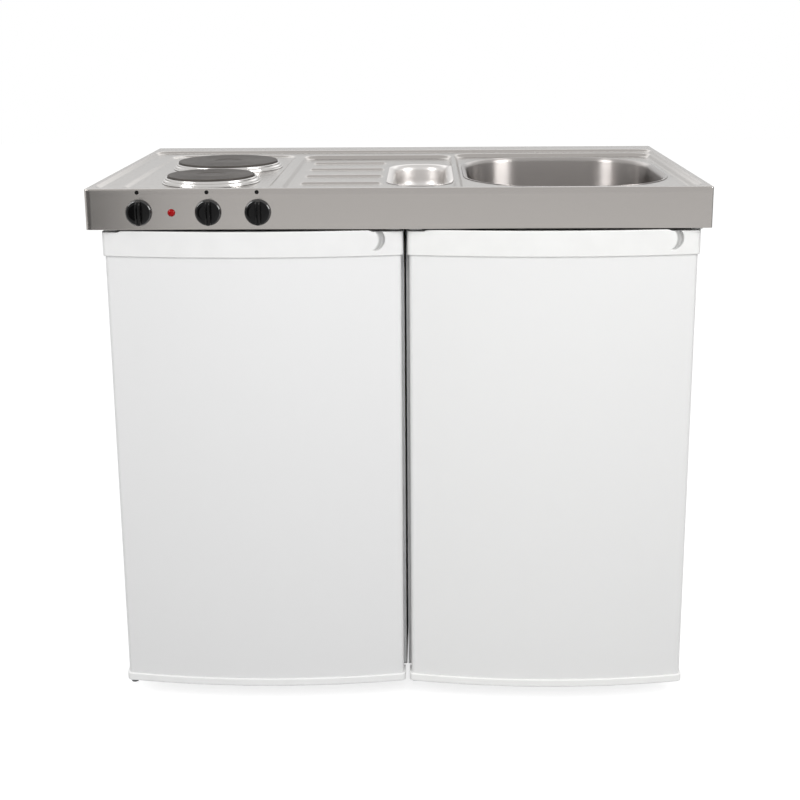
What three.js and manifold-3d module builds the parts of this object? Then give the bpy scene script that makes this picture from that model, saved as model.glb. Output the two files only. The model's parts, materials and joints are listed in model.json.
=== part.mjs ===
// Kitchenette unit: a pressed steel worktop with hob and sink over a refrigerator and a sink cupboard.
// Millimetres. +X is right, +Y is back, +Z is up. The fronts face -Y and the floor is Z = 0.
import * as THREE from 'three';
import { mergeVertices } from 'three/addons/utils/BufferGeometryUtils.js';
import Module from 'manifold-3d';

const wasm = await Module();
wasm.setup();

// ---------------------------------------------------------------- driving sizes

const GAP = 0.3; // clearance between two pieces that touch
const SHEET = 1.2; // stainless steel sheet of worktop and bowls
const STEEL = 1; // painted steel sheet of cabinets and brackets

const WORKTOP = { width: 1000, depth: 600, top: 900, lip: 66, cornerRadius: 10, edgeRadius: 3 };
const FRONT_EDGE = -WORKTOP.depth / 2; // the hob, its controls and the fields keep their distance from it
const SETBACK = { outerField: 18, innerFields: 34, tray: 48, frontPlate: 137, rearPlate: 333 };
const HOB_LENGTH = 456;
const TRAY_LENGTH = 412;

// Pressed fields of the worktop: outline of the floor, depth below the rim and width of the sloping wall
const OUTER_FIELD = {
  left: -482, right: 482, front: FRONT_EDGE + SETBACK.outerField, back: 232, radius: 22, drop: 4,
  slope: 8,
};
const FIELD_FRONT = FRONT_EDGE + SETBACK.innerFields;
const HOB_FIELD = {
  left: -442, right: -213, front: FIELD_FRONT, back: FIELD_FRONT + HOB_LENGTH, radius: 26, drop: 7, slope: 7,
};
const DRAINER_FIELD = {
  left: -182, right: 88, front: FIELD_FRONT, back: 180, radius: 24, drop: 10, slope: 9,
};
const SINK_FIELD = { left: 108, right: 474, front: FIELD_FRONT, back: 200, radius: 24, drop: 10, slope: 9 };
const RIBS = { left: -164, right: -32, width: 5, slope: 5, height: 3.5, front: -176, pitch: 93, count: 4 };

const BOWL = { x: 287.5, y: -17, width: 338, depth: 398, radius: 135, drop: 150, floorRadius: 26, flange: 9 };
const BASIN = { x: 35.5, y: -61, width: 103, depth: 282, radius: 50, drop: 46, floorRadius: 16, flange: 4 };
const OVERFLOW = { radius: 3, spacing: 16, below: 31, shift: 8 };

const WASTE = { flangeRadius: 52, cupRadius: 41, cupDepth: 42, wall: 2, tailRadius: 21, tailLength: 34 };
const BASKET = { radius: 37, rim: 2, wall: 1, depth: 26, knobRadius: 7, knobHeight: 14 };
const TRAP = { radius: 34, headHeight: 46, cupHeight: 70, wall: 2.4, neckRadius: 25 };
const DRAIN = { radius: 20, wall: 2, tail: 24 };
const BASIN_WASTE = {
  shift: 12, radius: 24, holeRadius: 14, lipHeight: 2, pipeRadius: 11, pipeWall: 1.8, pipeBend: 40,
};

const REAR_PLATE = { x: -318, y: FRONT_EDGE + SETBACK.rearPlate, radius: 90 };
const FRONT_PLATE = { x: -318, y: FRONT_EDGE + SETBACK.frontPlate, radius: 73 };
const PLATE = {
  above: 6, thickness: 9, bodyInset: 7, bodyDepth: 18, dish: 25, dishDepth: 1.2, studRadius: 4,
};
const SPILL_RING = { reach: 9, height: 9, tuck: 5 };
const TRAY_FRONT = FRONT_EDGE + SETBACK.tray;
const HOB_TRAY = {
  left: -436, right: -200, front: TRAY_FRONT, back: TRAY_FRONT + TRAY_LENGTH, bottom: 846, flange: 5,
};

const CONTROL_Z = 862;
const CONTROLS = { timer: -413, rearPlate: -302, frontPlate: -222.6 };
const KNOB = { radius: 21.2, skirt: 5, gripWidth: 8, gripShift: 1.5, height: 21 };
const SHAFT = { radius: 3, length: 12, clearance: 0.25, holeRadius: 5 };
const SWITCH = { width: 42, height: 42, depth: 32, bushRadius: 9, bush: 4 };
const LAMP = { x: -361, z: 861.5, radius: 6.2, dome: 3, bodyRadius: 4.6, bodyLength: 26 };
const TERMINAL_BOX = { x: -240, y: 238, width: 90, depth: 46, height: 40, glandRadius: 10, gland: 16 };

// Cabinets under the worktop, their heads a little below its lip
const LIP_CLEARANCE = 4.5;
const CABINET = { front: -249, back: 250, bottom: 46, top: WORKTOP.top - WORKTOP.lip - LIP_CLEARANCE };
const FRIDGE = { left: -474, right: 10.5, wall: 36, roof: 40, floor: 36, back: 42 };
const NICHE = { depth: 165, height: 205, bulkhead: 30 };
const LINER = { sheet: 1.5 };
const CUPBOARD = {
  left: 12.5, right: 480, rail: 46, returnWidth: 18, topFold: 20, floorLip: 30, pipeHole: 26,
};
const BEARER = { leftX: -462, width: 11, back: 240, gauge: 2, bowlClearance: 1.5, hingeClearance: 7 };
const RIGHT_BEARER_X = BOWL.x + BOWL.width / 2 + BOWL.flange + BEARER.bowlClearance + BEARER.width / 2;

const DOOR = {
  edgeY: -291, bow: 21, thickness: 30, cornerRadius: 7, bottom: 36, top: CABINET.top - GAP - 0.2,
  bowSteps: 14,
};
const FRIDGE_DOOR = { left: -478, right: 8 };
const CUPBOARD_DOOR = { left: 15, right: 485 };
const TRIM = { top: 39.5, bottom: 14, proud: 3, lift: 2.5, wall: 4.5 };
const GRIP = { width: 15, depth: 24, start: 26, end: 47 };
// Crescent that ends the grip: an outer disc less an inner disc, each placed from the door's right edge
// and top
const NOTCH = {
  outer: 19, outerFrom: 47, outerBelow: 13, inner: 17.7, innerFrom: 58, innerBelow: 14, rise: 3,
};
const HINGE = { inset: 14, pinRadius: 4, clearance: 0.25, plate: 2.4, pinDepth: 16, width: 22, reach: 46 };
const BEARER_FRONT = DOOR.edgeY + HINGE.inset + HINGE.reach + BEARER.hingeClearance;
const GASKET = { inset: 15, width: 13 };
const DOOR_LINER = { inset: 62, top: 70, bottom: 56, depth: 14, rim: 16 };
const BIN = { inset: 74, depth: 62, wall: 2, upperHeight: 60, lowerHeight: 92, upperZ: 520, lowerZ: 150 };

const SHELF = { thickness: 4, depth: 300, side: 3, ledge: 9, upperZ: 530, lowerZ: 290 };
const CRISPER = { height: 150, wall: 2.2, clearance: 12, depth: 245, lipHeight: 18 };
const THERMOSTAT = {
  width: 120, depth: 60, height: 34, y: -60, knobRadius: 15, knobHeight: 12, knobShift: 30,
};
const COMPRESSOR = { radius: 58, height: 118, x: -150, tray: 2 };
const CONDENSER = { rows: 6, tube: 3, margin: 50, strap: 12, bottom: 300, top: 780, y: 264 };
const FOOT = { radius: 17, padHeight: 10, stemRadius: 6, collarRadius: 13, frontInset: 45, sideInset: 44 };

// ---------------------------------------------------------------- finishes

const LOOKS = {
  stainless: { color: 0xb4b2ae, roughness: 0.28, metalness: 1 },
  polished: { color: 0xcfcdca, roughness: 0.12, metalness: 1 },
  castIron: { color: 0x3c3835, roughness: 0.75, metalness: 0.3 },
  white: { color: 0xefefee, roughness: 0.35, metalness: 0 },
  cream: { color: 0xf2f2ed, roughness: 0.35, metalness: 0 },
  liner: { color: 0xf4f5f5, roughness: 0.4, metalness: 0 },
  foam: { color: 0xe2d3a4, roughness: 0.95, metalness: 0 },
  black: { color: 0x0c0c0d, roughness: 0.18, metalness: 0 },
  blackMatte: { color: 0x1c1c1d, roughness: 0.6, metalness: 0 },
  blackSteel: { color: 0x19191b, roughness: 0.45, metalness: 0.4 },
  galvanised: { color: 0xa8abac, roughness: 0.5, metalness: 0.9 },
  bakelite: { color: 0x2a2624, roughness: 0.5, metalness: 0 },
  redLens: { color: 0xb3150f, roughness: 0.15, metalness: 0 },
  glass: { color: 0xd9ebe4, roughness: 0.05, metalness: 0 },
  clear: { color: 0xe6eef2, roughness: 0.12, metalness: 0 },
  gasket: { color: 0xdcdcd8, roughness: 0.7, metalness: 0 },
};

// ---------------------------------------------------------------- solids

/** Turn a closed three.js geometry into a solid that can be cut and joined. */
function solid(geometry) {
  const bare = geometry.clone();
  bare.deleteAttribute('normal');
  if (bare.attributes.uv) bare.deleteAttribute('uv');
  const merged = mergeVertices(bare, 1e-4);
  const vertProperties = new Float32Array(merged.attributes.position.array);
  const triVerts = new Uint32Array(merged.index.array);
  const body = new wasm.Manifold(new wasm.Mesh({ numProp: 3, vertProperties, triVerts }));
  return body.volume() > 0 ? body : new wasm.Manifold(new wasm.Mesh({ numProp: 3, vertProperties,
    triVerts: triVerts.reverse() }));
}

/** Turn a solid back into a three.js geometry with flat face normals. */
function geometryOf(body) {
  const raw = body.getMesh();
  const indexed = new THREE.BufferGeometry();
  indexed.setAttribute('position', new THREE.BufferAttribute(raw.vertProperties, raw.numProp));
  indexed.setIndex(new THREE.BufferAttribute(raw.triVerts, 1));
  const flat = indexed.toNonIndexed();
  flat.computeVertexNormals();
  return flat;
}

/** A named mesh from a solid, in one of the finishes. */
function piece(name, body, look) {
  const mesh = new THREE.Mesh(geometryOf(body), new THREE.MeshStandardMaterial(LOOKS[look]));
  mesh.name = name;
  return mesh;
}

/** Box between two corners. */
function block(x0, x1, y0, y1, z0, z1) {
  const box = new THREE.BoxGeometry(x1 - x0, y1 - y0, z1 - z0);
  return solid(box.translate((x0 + x1) / 2, (y0 + y1) / 2, (z0 + z1) / 2));
}

/** Upright cylinder or cone between two heights. */
function post(x, y, z0, z1, radius, topRadius = radius, sides = 24) {
  const cylinder = new THREE.CylinderGeometry(topRadius, radius, z1 - z0, sides);
  return solid(cylinder.rotateX(Math.PI / 2).translate(x, y, (z0 + z1) / 2));
}

/** Level cylinder along Y between two depths. */
function rod(x, z, y0, y1, radius, sides = 24) {
  const cylinder = new THREE.CylinderGeometry(radius, radius, y1 - y0, sides);
  return solid(cylinder.translate(0, (y0 + y1) / 2, 0).translate(x, 0, z));
}

/** Rectangle with round corners as a shape. */
function roundedRect(x0, x1, y0, y1, radius) {
  const shape = new THREE.Shape();
  shape.moveTo(x0 + radius, y0);
  shape.lineTo(x1 - radius, y0);
  shape.absarc(x1 - radius, y0 + radius, radius, -Math.PI / 2, 0);
  shape.lineTo(x1, y1 - radius);
  shape.absarc(x1 - radius, y1 - radius, radius, 0, Math.PI / 2);
  shape.lineTo(x0 + radius, y1);
  shape.absarc(x0 + radius, y1 - radius, radius, Math.PI / 2, Math.PI);
  shape.lineTo(x0, y0 + radius);
  shape.absarc(x0 + radius, y0 + radius, radius, Math.PI, 1.5 * Math.PI);
  return shape;
}

/** Upright prism of a shape between two heights. */
function prism(shape, z0, z1, segments = 4) {
  const plain = new THREE.ExtrudeGeometry(shape,
    { depth: z1 - z0, bevelEnabled: false, curveSegments: segments });
  return solid(plain.translate(0, 0, z0));
}

/** Level prism of a shape drawn in Y and Z, between two positions along X. */
function prismX(shape, x0, x1, segments = 4) {
  const along = new THREE.ExtrudeGeometry(shape,
    { depth: x1 - x0, bevelEnabled: false, curveSegments: segments });
  return solid(along.rotateY(Math.PI / 2).rotateX(Math.PI / 2).translate(x0, 0, 0));
}

/**
 * Prism whose two ends are the shape itself and whose middle is wider by the bevel on every side:
 * the wall of a pressed field, of a bowl's floor corner or of a rounded edge.
 */
function pillow(shape, z0, z1, size, height, steps, segments) {
  const swollen = new THREE.ExtrudeGeometry(shape, {
    depth: z1 - z0 - 2 * height, bevelEnabled: true, bevelSize: size, bevelThickness: height,
    bevelSegments: steps, curveSegments: segments,
  });
  return solid(swollen.translate(0, 0, z0 + height));
}

/** Body of revolution about an upright axis: points are [radius, height] round a closed outline. */
function turned(x, y, z, points, sides = 32) {
  const outline = points.map(([r, h]) => new THREE.Vector2(r, h));
  const closed = points[0][0] > 0 || points[points.length - 1][0] > 0;
  if (closed) outline.push(outline[0].clone());
  const lathe = new THREE.LatheGeometry(outline, sides);
  return solid(lathe.rotateX(Math.PI / 2).translate(x, y, z));
}

/** Round tube, solid or hollow, along a list of points joined by straight runs with rounded bends. */
function tube(points, radius, bore, bend, sides, steps) {
  const path = new THREE.CurvePath();
  const corners = points.map((p) => new THREE.Vector3(...p));
  let from = corners[0];
  for (let i = 1; i < corners.length - 1; i += 1) {
    const into = corners[i].clone().sub(corners[i - 1]).normalize();
    const out = corners[i + 1].clone().sub(corners[i]).normalize();
    const start = corners[i].clone().addScaledVector(into, -bend);
    const end = corners[i].clone().addScaledVector(out, bend);
    path.add(new THREE.LineCurve3(from, start));
    path.add(new THREE.QuadraticBezierCurve3(start, corners[i], end));
    from = end;
  }
  path.add(new THREE.LineCurve3(from, corners[corners.length - 1]));
  const section = new THREE.Shape().absarc(0, 0, radius, 0, 2 * Math.PI);
  if (bore > 0) section.holes.push(new THREE.Path().absarc(0, 0, bore, 0, 2 * Math.PI, true));
  return solid(new THREE.ExtrudeGeometry(section, { steps, extrudePath: path, curveSegments: sides }));
}

// ---------------------------------------------------------------- worktop

/** Solid that a pressed field takes away, grown by a margin for the underside of the sheet. */
function fieldPocket(field, margin) {
  const floor = roundedRect(field.left - margin, field.right + margin, field.front - margin,
    field.back + margin,
    field.radius + margin);
  const bottom = WORKTOP.top - field.drop - margin;
  return pillow(floor, bottom, bottom + 4 * (field.drop + margin), field.slope, field.drop, 2, 2);
}

/** One raised bead of the drainer, or the hollow under it when it is shrunk by a margin. */
function ribSolid(y, margin) {
  const half = RIBS.width / 2 - margin / 2;
  const crest = roundedRect(RIBS.left, RIBS.right, y - half, y + half, half - GAP);
  const floor = WORKTOP.top - DRAINER_FIELD.drop;
  const top = floor + RIBS.height - margin;
  return pillow(crest, floor - 2 * margin - RIBS.height, top, RIBS.slope, RIBS.height, 1, 1);
}

/** Upright prism of an oblong opening of a bowl, grown by a margin. */
function bowlPrism(bowl, margin, z0, z1) {
  const halfX = bowl.width / 2 + margin;
  const halfY = bowl.depth / 2 + margin;
  const outline = roundedRect(bowl.x - halfX, bowl.x + halfX, bowl.y - halfY, bowl.y + halfY,
    bowl.radius + margin);
  return prism(outline, z0, z1, 4);
}

function worktop() {
  const { width, depth, top, lip, cornerRadius, edgeRadius } = WORKTOP;
  const inset = edgeRadius;
  const crown = roundedRect(-width / 2 + inset, width / 2 - inset, -depth / 2 + inset, depth / 2 - inset,
    cornerRadius - inset);
  let sheet = pillow(crown, top - 2 * lip, top, edgeRadius, edgeRadius, 2, 3);
  const below = block(-width, width, -depth, depth, top - 3 * lip, top - lip);
  sheet = sheet.subtract(below);
  const innerCrown = roundedRect(-width / 2 + SHEET, width / 2 - SHEET, -depth / 2 + SHEET, depth / 2 - SHEET,
    cornerRadius - SHEET);
  let hollow = prism(innerCrown, top - 2 * lip, top - SHEET, 3);
  const ribRows = Array.from({ length: RIBS.count }, (_, i) => RIBS.front + i * RIBS.pitch);
  for (const field of [OUTER_FIELD, HOB_FIELD, DRAINER_FIELD, SINK_FIELD]) {
    sheet = sheet.subtract(fieldPocket(field, 0));
    hollow = hollow.subtract(fieldPocket(field, SHEET));
  }
  for (const y of ribRows) {
    sheet = sheet.add(ribSolid(y, 0));
    hollow = hollow.add(ribSolid(y, SHEET));
  }
  sheet = sheet.subtract(hollow);
  for (const bowl of [BOWL, BASIN]) sheet = sheet.subtract(bowlPrism(bowl, 0, top - lip, top));
  for (const plate of [REAR_PLATE, FRONT_PLATE]) {
    sheet = sheet.subtract(post(plate.x, plate.y, top - lip, top, plate.radius - SPILL_RING.tuck,
      undefined, 36));
  }
  const front = -depth / 2;
  for (const x of Object.values(CONTROLS)) {
    sheet = sheet.subtract(rod(x, CONTROL_Z, front - SHEET, front + 2 * SHEET, SHAFT.holeRadius, 12));
  }
  const lampHole = LAMP.bodyRadius + SHAFT.clearance;
  return piece('worktop', sheet
    .subtract(rod(LAMP.x, LAMP.z, front - SHEET, front + 2 * SHEET, lampHole, 12)), 'stainless');
}

/** Sheet bowl with a rounded floor and a flange that lies against the underside of a field. */
function bowlSheet(bowl, field, segments) {
  const under = WORKTOP.top - field.drop - SHEET - GAP;
  const floorZ = WORKTOP.top - field.drop - bowl.drop;
  const shell = (margin) => {
    const halfX = bowl.width / 2 - bowl.floorRadius + margin;
    const halfY = bowl.depth / 2 - bowl.floorRadius + margin;
    const outline = roundedRect(bowl.x - halfX, bowl.x + halfX, bowl.y - halfY, bowl.y + halfY,
      bowl.radius - bowl.floorRadius + margin);
    const bottom = floorZ - margin;
    return pillow(outline, bottom, bottom + 2 * bowl.drop + 2 * bowl.floorRadius, bowl.floorRadius,
      bowl.floorRadius,
      3, segments);
  };
  const above = block(-WORKTOP.width, WORKTOP.width, -WORKTOP.depth, WORKTOP.depth, under, 2 * WORKTOP.top);
  const flange = bowlPrism(bowl, bowl.flange, under - SHEET, under);
  return shell(SHEET).subtract(above).add(flange).subtract(shell(0));
}

function sinkBowl() {
  const hole = WASTE.cupRadius + WASTE.wall + GAP;
  const body = bowlSheet(BOWL, SINK_FIELD, 4);
  const floorZ = WORKTOP.top - SINK_FIELD.drop - BOWL.drop;
  return piece('sink_bowl', body
    .subtract(post(BOWL.x, BOWL.y, floorZ - 2 * SHEET, floorZ + SHEET, hole)), 'stainless');
}

function strainerBasin() {
  let body = bowlSheet(BASIN, DRAINER_FIELD, 3);
  const field = WORKTOP.top - DRAINER_FIELD.drop;
  const rear = BASIN.y + BASIN.depth / 2;
  for (const side of [-1, 1]) {
    const x = BASIN.x + OVERFLOW.shift + side * OVERFLOW.spacing / 2;
    body = body.subtract(rod(x, field - OVERFLOW.below, rear - 3 * SHEET, rear + 3 * SHEET,
      OVERFLOW.radius, 12));
  }
  const wasteX = BASIN.x + BASIN_WASTE.shift;
  const hole = post(wasteX, BASIN.y, field - BASIN.drop - 2 * SHEET, field - BASIN.drop + SHEET,
    BASIN_WASTE.holeRadius + GAP);
  return piece('strainer_basin', body.subtract(hole), 'stainless');
}

// ---------------------------------------------------------------- wastes and trap

const BOWL_FLOOR = WORKTOP.top - SINK_FIELD.drop - BOWL.drop;
const BASIN_FLOOR = WORKTOP.top - DRAINER_FIELD.drop - BASIN.drop;
const CUP_FLOOR = BOWL_FLOOR - WASTE.cupDepth;
const TAIL_END = CUP_FLOOR - WASTE.tailLength;

/** Waste fitting: a flange on the bowl's floor, a cup for the basket and a tail under it. */
function sinkWaste() {
  const { flangeRadius, cupRadius, wall, tailRadius } = WASTE;
  const outline = [
    [cupRadius, BOWL_FLOOR + GAP], [flangeRadius, BOWL_FLOOR + GAP],
      [flangeRadius - wall, BOWL_FLOOR + GAP + wall],
    [cupRadius - wall, BOWL_FLOOR + GAP + wall], [cupRadius - wall, CUP_FLOOR + wall],
      [tailRadius - wall, CUP_FLOOR + wall],
    [tailRadius - wall, TAIL_END], [tailRadius, TAIL_END], [tailRadius, CUP_FLOOR], [cupRadius, CUP_FLOOR],
  ];
  return piece('sink_waste', turned(BOWL.x, BOWL.y, 0, outline, 20), 'polished');
}

/** Strainer basket that drops into the cup, with holes in its floor and a knob to lift it by. */
function strainerBasket() {
  const { radius, rim, wall, depth, knobRadius, knobHeight } = BASKET;
  const top = BOWL_FLOOR + GAP + WASTE.wall + GAP;
  const seat = top + wall;
  let basket = turned(BOWL.x, BOWL.y, 0, [
    [0, seat - depth], [radius - 2 * rim, seat - depth], [radius, seat - wall],
      [radius + 2 * rim, seat - wall],
    [radius + 2 * rim, seat], [radius - wall, seat], [radius - 2 * rim - wall, seat - depth + wall],
    [rim, seat - depth + wall], [rim, seat - depth + knobHeight],
      [knobRadius, seat - depth + knobHeight + rim],
    [knobRadius, seat - depth + knobHeight + 2 * rim], [0, seat - depth + knobHeight + 2 * rim],
  ], 16);
  for (let i = 0; i < 8; i += 1) {
    const angle = (i * Math.PI) / 4;
    const x = BOWL.x + (radius - 6 * rim) * Math.cos(angle);
    const y = BOWL.y + (radius - 6 * rim) * Math.sin(angle);
    basket = basket.subtract(post(x, y, seat - depth - wall, seat - depth + 2 * wall, rim, rim, 8));
  }
  return piece('strainer_basket', basket, 'polished');
}

const TRAP_TOP = TAIL_END - GAP;
const TRAP_SEAM = TRAP_TOP - TRAP.headHeight;

/** Head of the bottle trap with its inlet collar and side outlet. */
function trapBody() {
  const { radius, wall, neckRadius, headHeight } = TRAP;
  const inner = neckRadius - wall;
  const head = turned(BOWL.x, BOWL.y, 0, [
    [inner, TRAP_TOP], [inner, TRAP_SEAM], [inner - 0.5 * wall, TRAP_SEAM - headHeight],
    [inner + 0.5 * wall, TRAP_SEAM - headHeight], [neckRadius, TRAP_SEAM], [radius - wall, TRAP_SEAM],
    [radius, TRAP_SEAM], [radius, TRAP_SEAM + 0.6 * headHeight], [neckRadius, TRAP_SEAM + 0.8 * headHeight],
    [neckRadius, TRAP_TOP],
  ], 18);
  return piece('trap_body', head, 'white');
}

/** Cup that screws on below the head and holds the water seal. */
function trapCup() {
  const { radius, wall, cupHeight } = TRAP;
  const top = TRAP_SEAM - GAP;
  const cup = turned(BOWL.x, BOWL.y, 0, [
    [0, top - cupHeight], [radius - 3 * wall, top - cupHeight], [radius, top - cupHeight + 4 * wall],
      [radius, top],
    [radius - wall, top], [radius - wall, top - cupHeight + 5 * wall],
      [radius - 4 * wall, top - cupHeight + wall],
    [0, top - cupHeight + wall],
  ], 18);
  return piece('trap_cup', cup, 'white');
}

const DRAIN_Z = TRAP_SEAM + 0.3 * TRAP.headHeight;

/** Outlet pipe from the trap's side through the cupboard's back to the wall connection. */
function drainPipe() {
  const start = BOWL.y + TRAP.radius + GAP;
  const pipe = rod(BOWL.x, DRAIN_Z, start, CABINET.back + DRAIN.tail, DRAIN.radius)
    .subtract(rod(BOWL.x, DRAIN_Z, start - DRAIN.wall, CABINET.back + 2 * DRAIN.tail,
      DRAIN.radius - DRAIN.wall))
    .subtract(post(BOWL.x, BOWL.y, DRAIN_Z - 2 * DRAIN.radius, DRAIN_Z + 2 * DRAIN.radius,
      TRAP.radius + GAP, undefined, 24));
  return piece('drain_pipe', pipe, 'white');
}


const BASIN_TAIL = BASIN_FLOOR - 3 * BASIN_WASTE.radius / 2;

function basinWaste() {
  const { radius, holeRadius, lipHeight, pipeRadius, pipeWall } = BASIN_WASTE;
  const seat = BASIN_FLOOR + GAP;
  const bore = pipeRadius - pipeWall;
  const outline = [
    [bore, BASIN_TAIL], [pipeRadius, BASIN_TAIL], [pipeRadius, BASIN_FLOOR - holeRadius],
      [holeRadius, BASIN_FLOOR - holeRadius],
    [holeRadius, seat], [radius * 0.8, seat], [radius * 0.8 - lipHeight, seat + lipHeight],
      [bore, seat + lipHeight],
  ];
  return piece('basin_waste', turned(BASIN.x + BASIN_WASTE.shift, BASIN.y, 0, outline, 16), 'polished');
}

/** Branch pipe from the small basin to the collar of the trap. */
function branchPipe() {
  const { pipeRadius, pipeWall, pipeBend } = BASIN_WASTE;
  const x = BASIN.x + BASIN_WASTE.shift;
  const low = TRAP_SEAM + 0.3 * TRAP.headHeight;
  const end = BOWL.x - TRAP.radius - GAP;
  const route = [[x, BASIN.y, BASIN_TAIL - GAP], [x, BASIN.y, low + pipeBend],
    [x + pipeBend, BASIN.y + pipeBend / 5, low], [end, BOWL.y, low]];
  const pipe = tube(route, pipeRadius, pipeRadius - pipeWall, 24, 4, 14);
  const clear = post(BOWL.x, BOWL.y, low - 3 * pipeRadius, low + 3 * pipeRadius, TRAP.radius + GAP,
    undefined, 24);
  return piece('branch_pipe', pipe.subtract(clear), 'white');
}

// ---------------------------------------------------------------- hob and controls

const HOB_Z = WORKTOP.top - HOB_FIELD.drop;
const PLATE_TOP = WORKTOP.top + PLATE.above;
const TRAY_FLOOR = HOB_TRAY.bottom + STEEL;

/** Cast iron hotplate: a disc with a shallow dish, a narrower body below and a fixing stud. */
function hotplate(name, { x, y, radius }) {
  const { thickness, bodyInset, bodyDepth, dish, dishDepth, studRadius } = PLATE;
  const discBottom = PLATE_TOP - thickness;
  const bodyRadius = radius - bodyInset - SPILL_RING.tuck;
  const outline = [
    [0, TRAY_FLOOR + GAP], [studRadius, TRAY_FLOOR + GAP], [studRadius, discBottom - bodyDepth],
    [bodyRadius, discBottom - bodyDepth], [bodyRadius, discBottom], [radius, discBottom],
      [radius, PLATE_TOP - 1],
    [radius - 1, PLATE_TOP], [dish, PLATE_TOP], [dish - dishDepth, PLATE_TOP - dishDepth],
      [0, PLATE_TOP - dishDepth],
  ];
  return piece(name, turned(x, y, 0, outline, 32), 'castIron');
}

/** Polished ring that seats a plate in its hole and catches spills. */
function spillRing(name, { x, y, radius }) {
  const { reach, height, tuck } = SPILL_RING;
  const foot = HOB_Z + GAP;
  const under = PLATE_TOP - PLATE.thickness - GAP;
  const inner = radius - tuck - PLATE.bodyInset / 2;
  const outline = [
    [radius + reach - 2, foot], [radius + reach, foot], [radius + reach, foot + 1],
      [radius + 3, foot + height],
    [radius + 1, foot + height], [radius + 1, under], [inner, under], [inner, under - SHEET],
      [radius, under - SHEET],
  ];
  return piece(name, turned(x, y, 0, outline, 28), 'polished');
}

/** Sheet tray that closes the hob's wiring space from below. */
function hobTray() {
  const { left, right, front, back, bottom, flange } = HOB_TRAY;
  const top = HOB_Z - SHEET - GAP;
  const body = block(left, right, front, back, bottom, top)
    .subtract(block(left + STEEL, right - STEEL, front + STEEL, back - STEEL, TRAY_FLOOR, top + STEEL));
  const rim = block(left - flange, right + flange, front - flange / 2, back + flange, top - STEEL, top)
    .subtract(block(left, right, front, back, top - 2 * STEEL, top + STEEL));
  return piece('hob_tray', body.add(rim), 'galvanised');
}

/** Switch body behind the lip with its threaded bush and the shaft that the knob turns on. */
function switchBody(name, x) {
  const { width, height, depth, bushRadius, bush } = SWITCH;
  const inside = -WORKTOP.depth / 2 + SHEET + GAP;
  const box = block(x - width / 2, x + width / 2, inside + bush, inside + bush + depth,
    CONTROL_Z - height / 2, CONTROL_Z + height / 2);
  const body = box.add(rod(x, CONTROL_Z, inside, inside + bush + SHEET, bushRadius, 16))
    .add(rod(x, CONTROL_Z, -WORKTOP.depth / 2 - SHAFT.length, inside + bush, SHAFT.radius, 16));
  return piece(name, body, 'bakelite');
}

/** Black knob: a round skirt, a domed cap and a raised grip bar across it; drawn about its own axis. */
function controlKnob(name, x) {
  const { radius, skirt, gripWidth, gripShift, height } = KNOB;
  const profile = [
    [0, GAP], [radius, GAP], [radius, skirt], [radius - 1, skirt + 1.5], [radius - 4, skirt + 3],
      [0, skirt + 4],
  ];
  const grip = prism(roundedRect(-gripWidth / 2 + gripShift, gripWidth / 2 + gripShift, -radius + 2,
    radius - 2,
    gripWidth / 2 - GAP), skirt, height, 3);
  const bore = post(0, 0, -GAP, SHAFT.length + GAP, SHAFT.radius + SHAFT.clearance, undefined, 16);
  const upright = turned(0, 0, 0, profile, 24).add(grip).subtract(bore);
  const knob = piece(name, upright, 'black');
  knob.rotation.x = Math.PI / 2;
  knob.position.set(x, -WORKTOP.depth / 2, CONTROL_Z);
  return knob;
}

/** Red pilot lamp: a domed lens in front of the lip and its body behind. */
function pilotLamp() {
  const { x, z, radius, dome, bodyRadius, bodyLength } = LAMP;
  const outline = [
    [0, -bodyLength], [bodyRadius, -bodyLength], [bodyRadius, GAP], [radius, GAP], [radius, GAP + 1],
    [radius * 0.75, dome], [0, dome + 1],
  ];
  const lamp = piece('pilot_lamp', turned(0, 0, 0, outline, 20), 'redLens');
  lamp.rotation.x = Math.PI / 2;
  lamp.position.set(x, -WORKTOP.depth / 2, z);
  return lamp;
}

/** Supply terminal box under the worktop's rear edge, with a cable gland. */
function terminalBox() {
  const { x, y, width, depth, height, glandRadius, gland } = TERMINAL_BOX;
  const top = WORKTOP.top - OUTER_FIELD.drop - SHEET - GAP;
  const box = block(x - width / 2, x + width / 2, y - depth / 2, y + depth / 2, top - height, top);
  const stub = rod(x, top - height / 2, y + depth / 2 - STEEL, y + depth / 2 + gland, glandRadius, 16);
  const bore = rod(x, top - height / 2, y + depth / 2, y + depth / 2 + 2 * gland, glandRadius / 2, 12);
  return piece('terminal_box', box.add(stub).subtract(bore), 'blackMatte');
}

/** Folded channel that carries the worktop on a cabinet's top. */
function bearer(name, x, field) {
  const { width, back, gauge } = BEARER;
  const bottom = CABINET.top + GAP;
  const top = WORKTOP.top - field.drop - SHEET - GAP;
  const body = block(x - width / 2, x + width / 2, BEARER_FRONT, back, bottom, top)
    .subtract(block(x - width / 2 + gauge, x + width, BEARER_FRONT - gauge, back + gauge, bottom + gauge,
      top - gauge));
  return piece(name, body, 'galvanised');
}

// ---------------------------------------------------------------- refrigerator

/** Side outline of the refrigerator, with the compressor niche at the lower back, shrunk by a margin. */
function fridgeOutline(margin) {
  const { front, back, bottom, top } = CABINET;
  const nicheFront = back - NICHE.depth;
  const nicheTop = bottom + NICHE.height;
  const outline = new THREE.Shape();
  outline.moveTo(front, bottom + margin);
  outline.lineTo(nicheFront - margin, bottom + margin);
  outline.lineTo(nicheFront - margin, nicheTop + margin);
  outline.lineTo(back - margin, nicheTop + margin);
  outline.lineTo(back - margin, top - margin);
  outline.lineTo(front, top - margin);
  return outline;
}

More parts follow.
